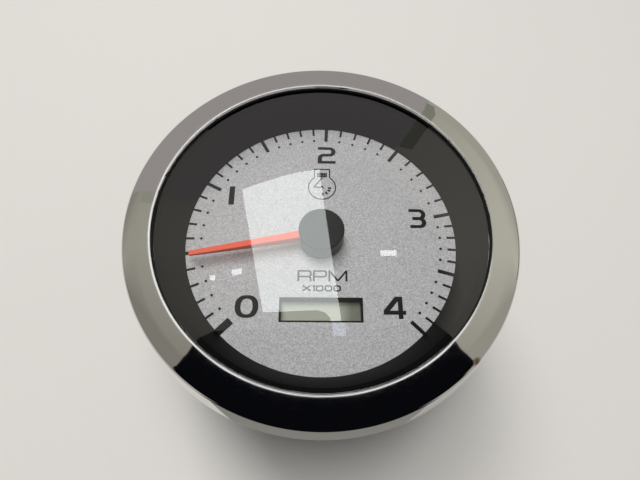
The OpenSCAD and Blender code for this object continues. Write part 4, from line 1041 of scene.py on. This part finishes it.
def window_and_lamps():
    """A bright window and four lamps overhead, which the chrome and the lens mirror."""
    outline = [(-0.194, 0.589), (-0.121, 0.252), (0.011, 0.258), (0.03, 0.251), (0.039, 0.239)]
    outline += [(0.042, 0.231), (0.066, 0.232), (0.012, 0.655), (-0.04, 0.646), (-0.089, 0.632)]
    outline += [(-0.143, 0.611)]
    overhead("window", outline, emitter("window_light", "#F8FFFC", WINDOW_POWER), LIGHT_LAYER)
    lamps = {
        "long_lamp": [(0.168, 0.415), (0.167, 0.4), (0.208, 0.4), (0.209, 0.416)],
        "left_lamp": [(-0.204, 0.359), (-0.2, 0.343), (-0.178, 0.349), (-0.179, 0.365)],
        "far_left_lamp": [(-0.256, 0.344), (-0.254, 0.331), (-0.242, 0.331), (-0.243, 0.344)],
    }
    white = emitter("lamp_light", "#F8FBFF", LAMP_POWER)
    for name, corners in lamps.items():
        overhead(name, corners, white, LIGHT_LAYER)
    overhead("blue_lamp", [(0.045, 0.227), (0.045, 0.197), (0.076, 0.197), (0.077, 0.228)],
             emitter("blue_lamp_light", "#C9D2F0", BLUE_LAMP_POWER), LIGHT_LAYER)


def bright_hoop():
    """Thin bright hoop overhead where the bead's land mirrors it to the camera, tapered at both ends."""
    height = layer_height(LIGHT_LAYER)
    crest = FACE_TOP + BEAD_RISE
    rise = (height - crest) / (CAMERA_AT.z - crest)
    middle = (LIP_R + BEAD_EDGE + BEAD_LAND / 2) * (1 + rise)
    centre = (-CAMERA_AT.x * rise, -CAMERA_AT.y * rise)
    spine = arc(centre, middle, HOOP_START, HOOP_END, HOOP_STEPS)
    count = len(spine)
    shares = [min(1.0, i / HOOP_TAPER, (count - 1 - i) / HOOP_TAPER) for i in range(count)]
    corners = []
    for side in (-1, 1):
        edge = arc(centre, middle + side * HOOP_W / 2, HOOP_START, HOOP_END, HOOP_STEPS)
        tapered = [Vector(s).lerp(Vector(e), share) for s, e, share in zip(spine, edge, shares)]
        corners += [(x, y, height) for x, y in tapered]
    faces = [(i, i + 1, count + i + 1, count + i) for i in range(count - 1)]
    mesh = points_mesh("bright_hoop", corners, faces)
    mesh.materials.append(emitter("hoop_light", "#FFFFFF", HOOP_POWER))
    stage_sheet("bright_hoop", mesh)


def table_cloth_and_painted_shadow(dark):
    """A grey sheet of painted shadow in place of the gauge's shadow on the table, and a black cloth, both in
    front, which only the bezel's near side mirrors.
    """
    # Painted shadow: a flat grey that stands for the table's shade as the chrome mirrors it
    grey = emitter("painted_table_shadow_grey", "#8C8B85")
    for name, material, (back, back_half), (front, front_half) in (
            ("grey_table_cloth", grey, PAINTED_SHADOW_BACK, PAINTED_SHADOW_FRONT),
            ("black_table_cloth", dark, BLACK_CLOTH_BACK, BLACK_CLOTH_FRONT)):
        card(name, [(-back_half, back, LAP), (-front_half, front, LAP), (front_half, front, LAP),
                    (back_half, back, LAP)], material)


def studio():
    """All that the chrome and the glass mirror."""
    olive = olive_paper()
    mauve = emitter("mauve_paper", "#A9A4A3")
    dark = emitter("dark_cloth", "#0B0C10")
    ceiling(olive, mauve, dark)
    walls(olive, mauve, dark)
    window_and_lamps()
    bright_hoop()
    table_cloth_and_painted_shadow(dark)


def softbox(name, place, power):
    """A soft lamp aimed at the gauge, which doesn't show in reflections."""
    light = bpy.data.lights.new(name, "AREA")
    light.shape = "RECTANGLE"
    light.size = SOFTBOX_SIDE
    light.size_y = SOFTBOX_SIDE
    light.energy = power
    lamp = placed(name, light)
    lamp.location = place
    lamp.rotation_euler = (-Vector(place)).to_track_quat("-Z", "Y").to_euler()
    lamp.visible_glossy = False


def table_top():
    """Matt off-white table top at the level of the studs' tips. From below it lets the camera through."""
    corners = [(sx * TABLE_SIDE, sy * TABLE_SIDE, TABLE) for sx, sy in ((-1, -1), (1, -1), (1, 1), (-1, 1))]
    mesh = points_mesh("table_top", corners, [(0, 1, 2, 3)])
    material, tree, shader = finish_of("matt_white_table", "#DEDBD6", roughness=0.8, Specular_IOR_Level=0.2)
    grain(tree, shader, size=1.2 * MM, relief=0.02 * MM, shades=("#DCD9D3", "#E0DDD8"))
    clear = add(tree, "ShaderNodeBsdfTransparent")
    behind = add(tree, "ShaderNodeNewGeometry").outputs["Backfacing"]
    surface(tree, add(tree, "ShaderNodeMixShader", {0: behind, 1: shader.outputs[0], 2: clear.outputs[0]}))
    mesh.materials.append(material)
    placed("table_top", mesh)


def room():
    """White backdrop for the camera, mirrors and glass, and a dimmer even light for everything else."""
    world = bpy.data.worlds.new("studio")
    bpy.context.scene.world = world
    world.use_nodes = True
    tree = world.node_tree
    paths = add(tree, "ShaderNodeLightPath").outputs
    seen = paths["Is Camera Ray"]
    for other in ("Is Glossy Ray", "Is Transmission Ray"):
        seen = add(tree, "ShaderNodeMath", {0: seen, 1: paths[other]}, operation="MAXIMUM").outputs["Value"]
    level = add(tree, "ShaderNodeMapRange", {"Value": seen, "To Min": ROOM_LEVEL, "To Max": 1.0})
    back = tree.nodes["Background"]
    back.inputs["Color"].default_value = linear("#FFFFFF")
    tree.links.new(level.outputs["Result"], back.inputs["Strength"])


def camera():
    """The photograph's view, with the image's centre on the lens axis."""
    data = bpy.data.cameras.new("view")
    data.lens = CAMERA_LENS
    data.sensor_width = CAMERA_SENSOR
    data.clip_start = CAMERA_NEAR
    eye = placed("view", data)
    turn = Matrix.Rotation(math.radians(CAMERA_TILT), 3, "X")
    turn = turn @ Matrix.Rotation(math.radians(CAMERA_SIDE), 3, "Y")
    turn = turn @ Matrix.Rotation(math.radians(CAMERA_ROLL), 3, "Z")
    eye.matrix_world = Matrix.Translation(CAMERA_AT) @ turn.transposed().to_4x4()
    bpy.context.scene.camera = eye


dress_nodes()
bezel_ring()
lens_gasket()
lens()
panel_gasket()
shadow_cone()
lettering()
mounting_studs()
terminals()
own_solids()
studio()
softbox("back_softbox", place=(-0.25, 0.45, 1.0), power=5.4)
softbox("top_softbox", place=(0.0, 0.1, 1.0), power=5.6)
table_top()
room()
camera()
bpy.context.scene.view_settings.view_transform = "Standard"
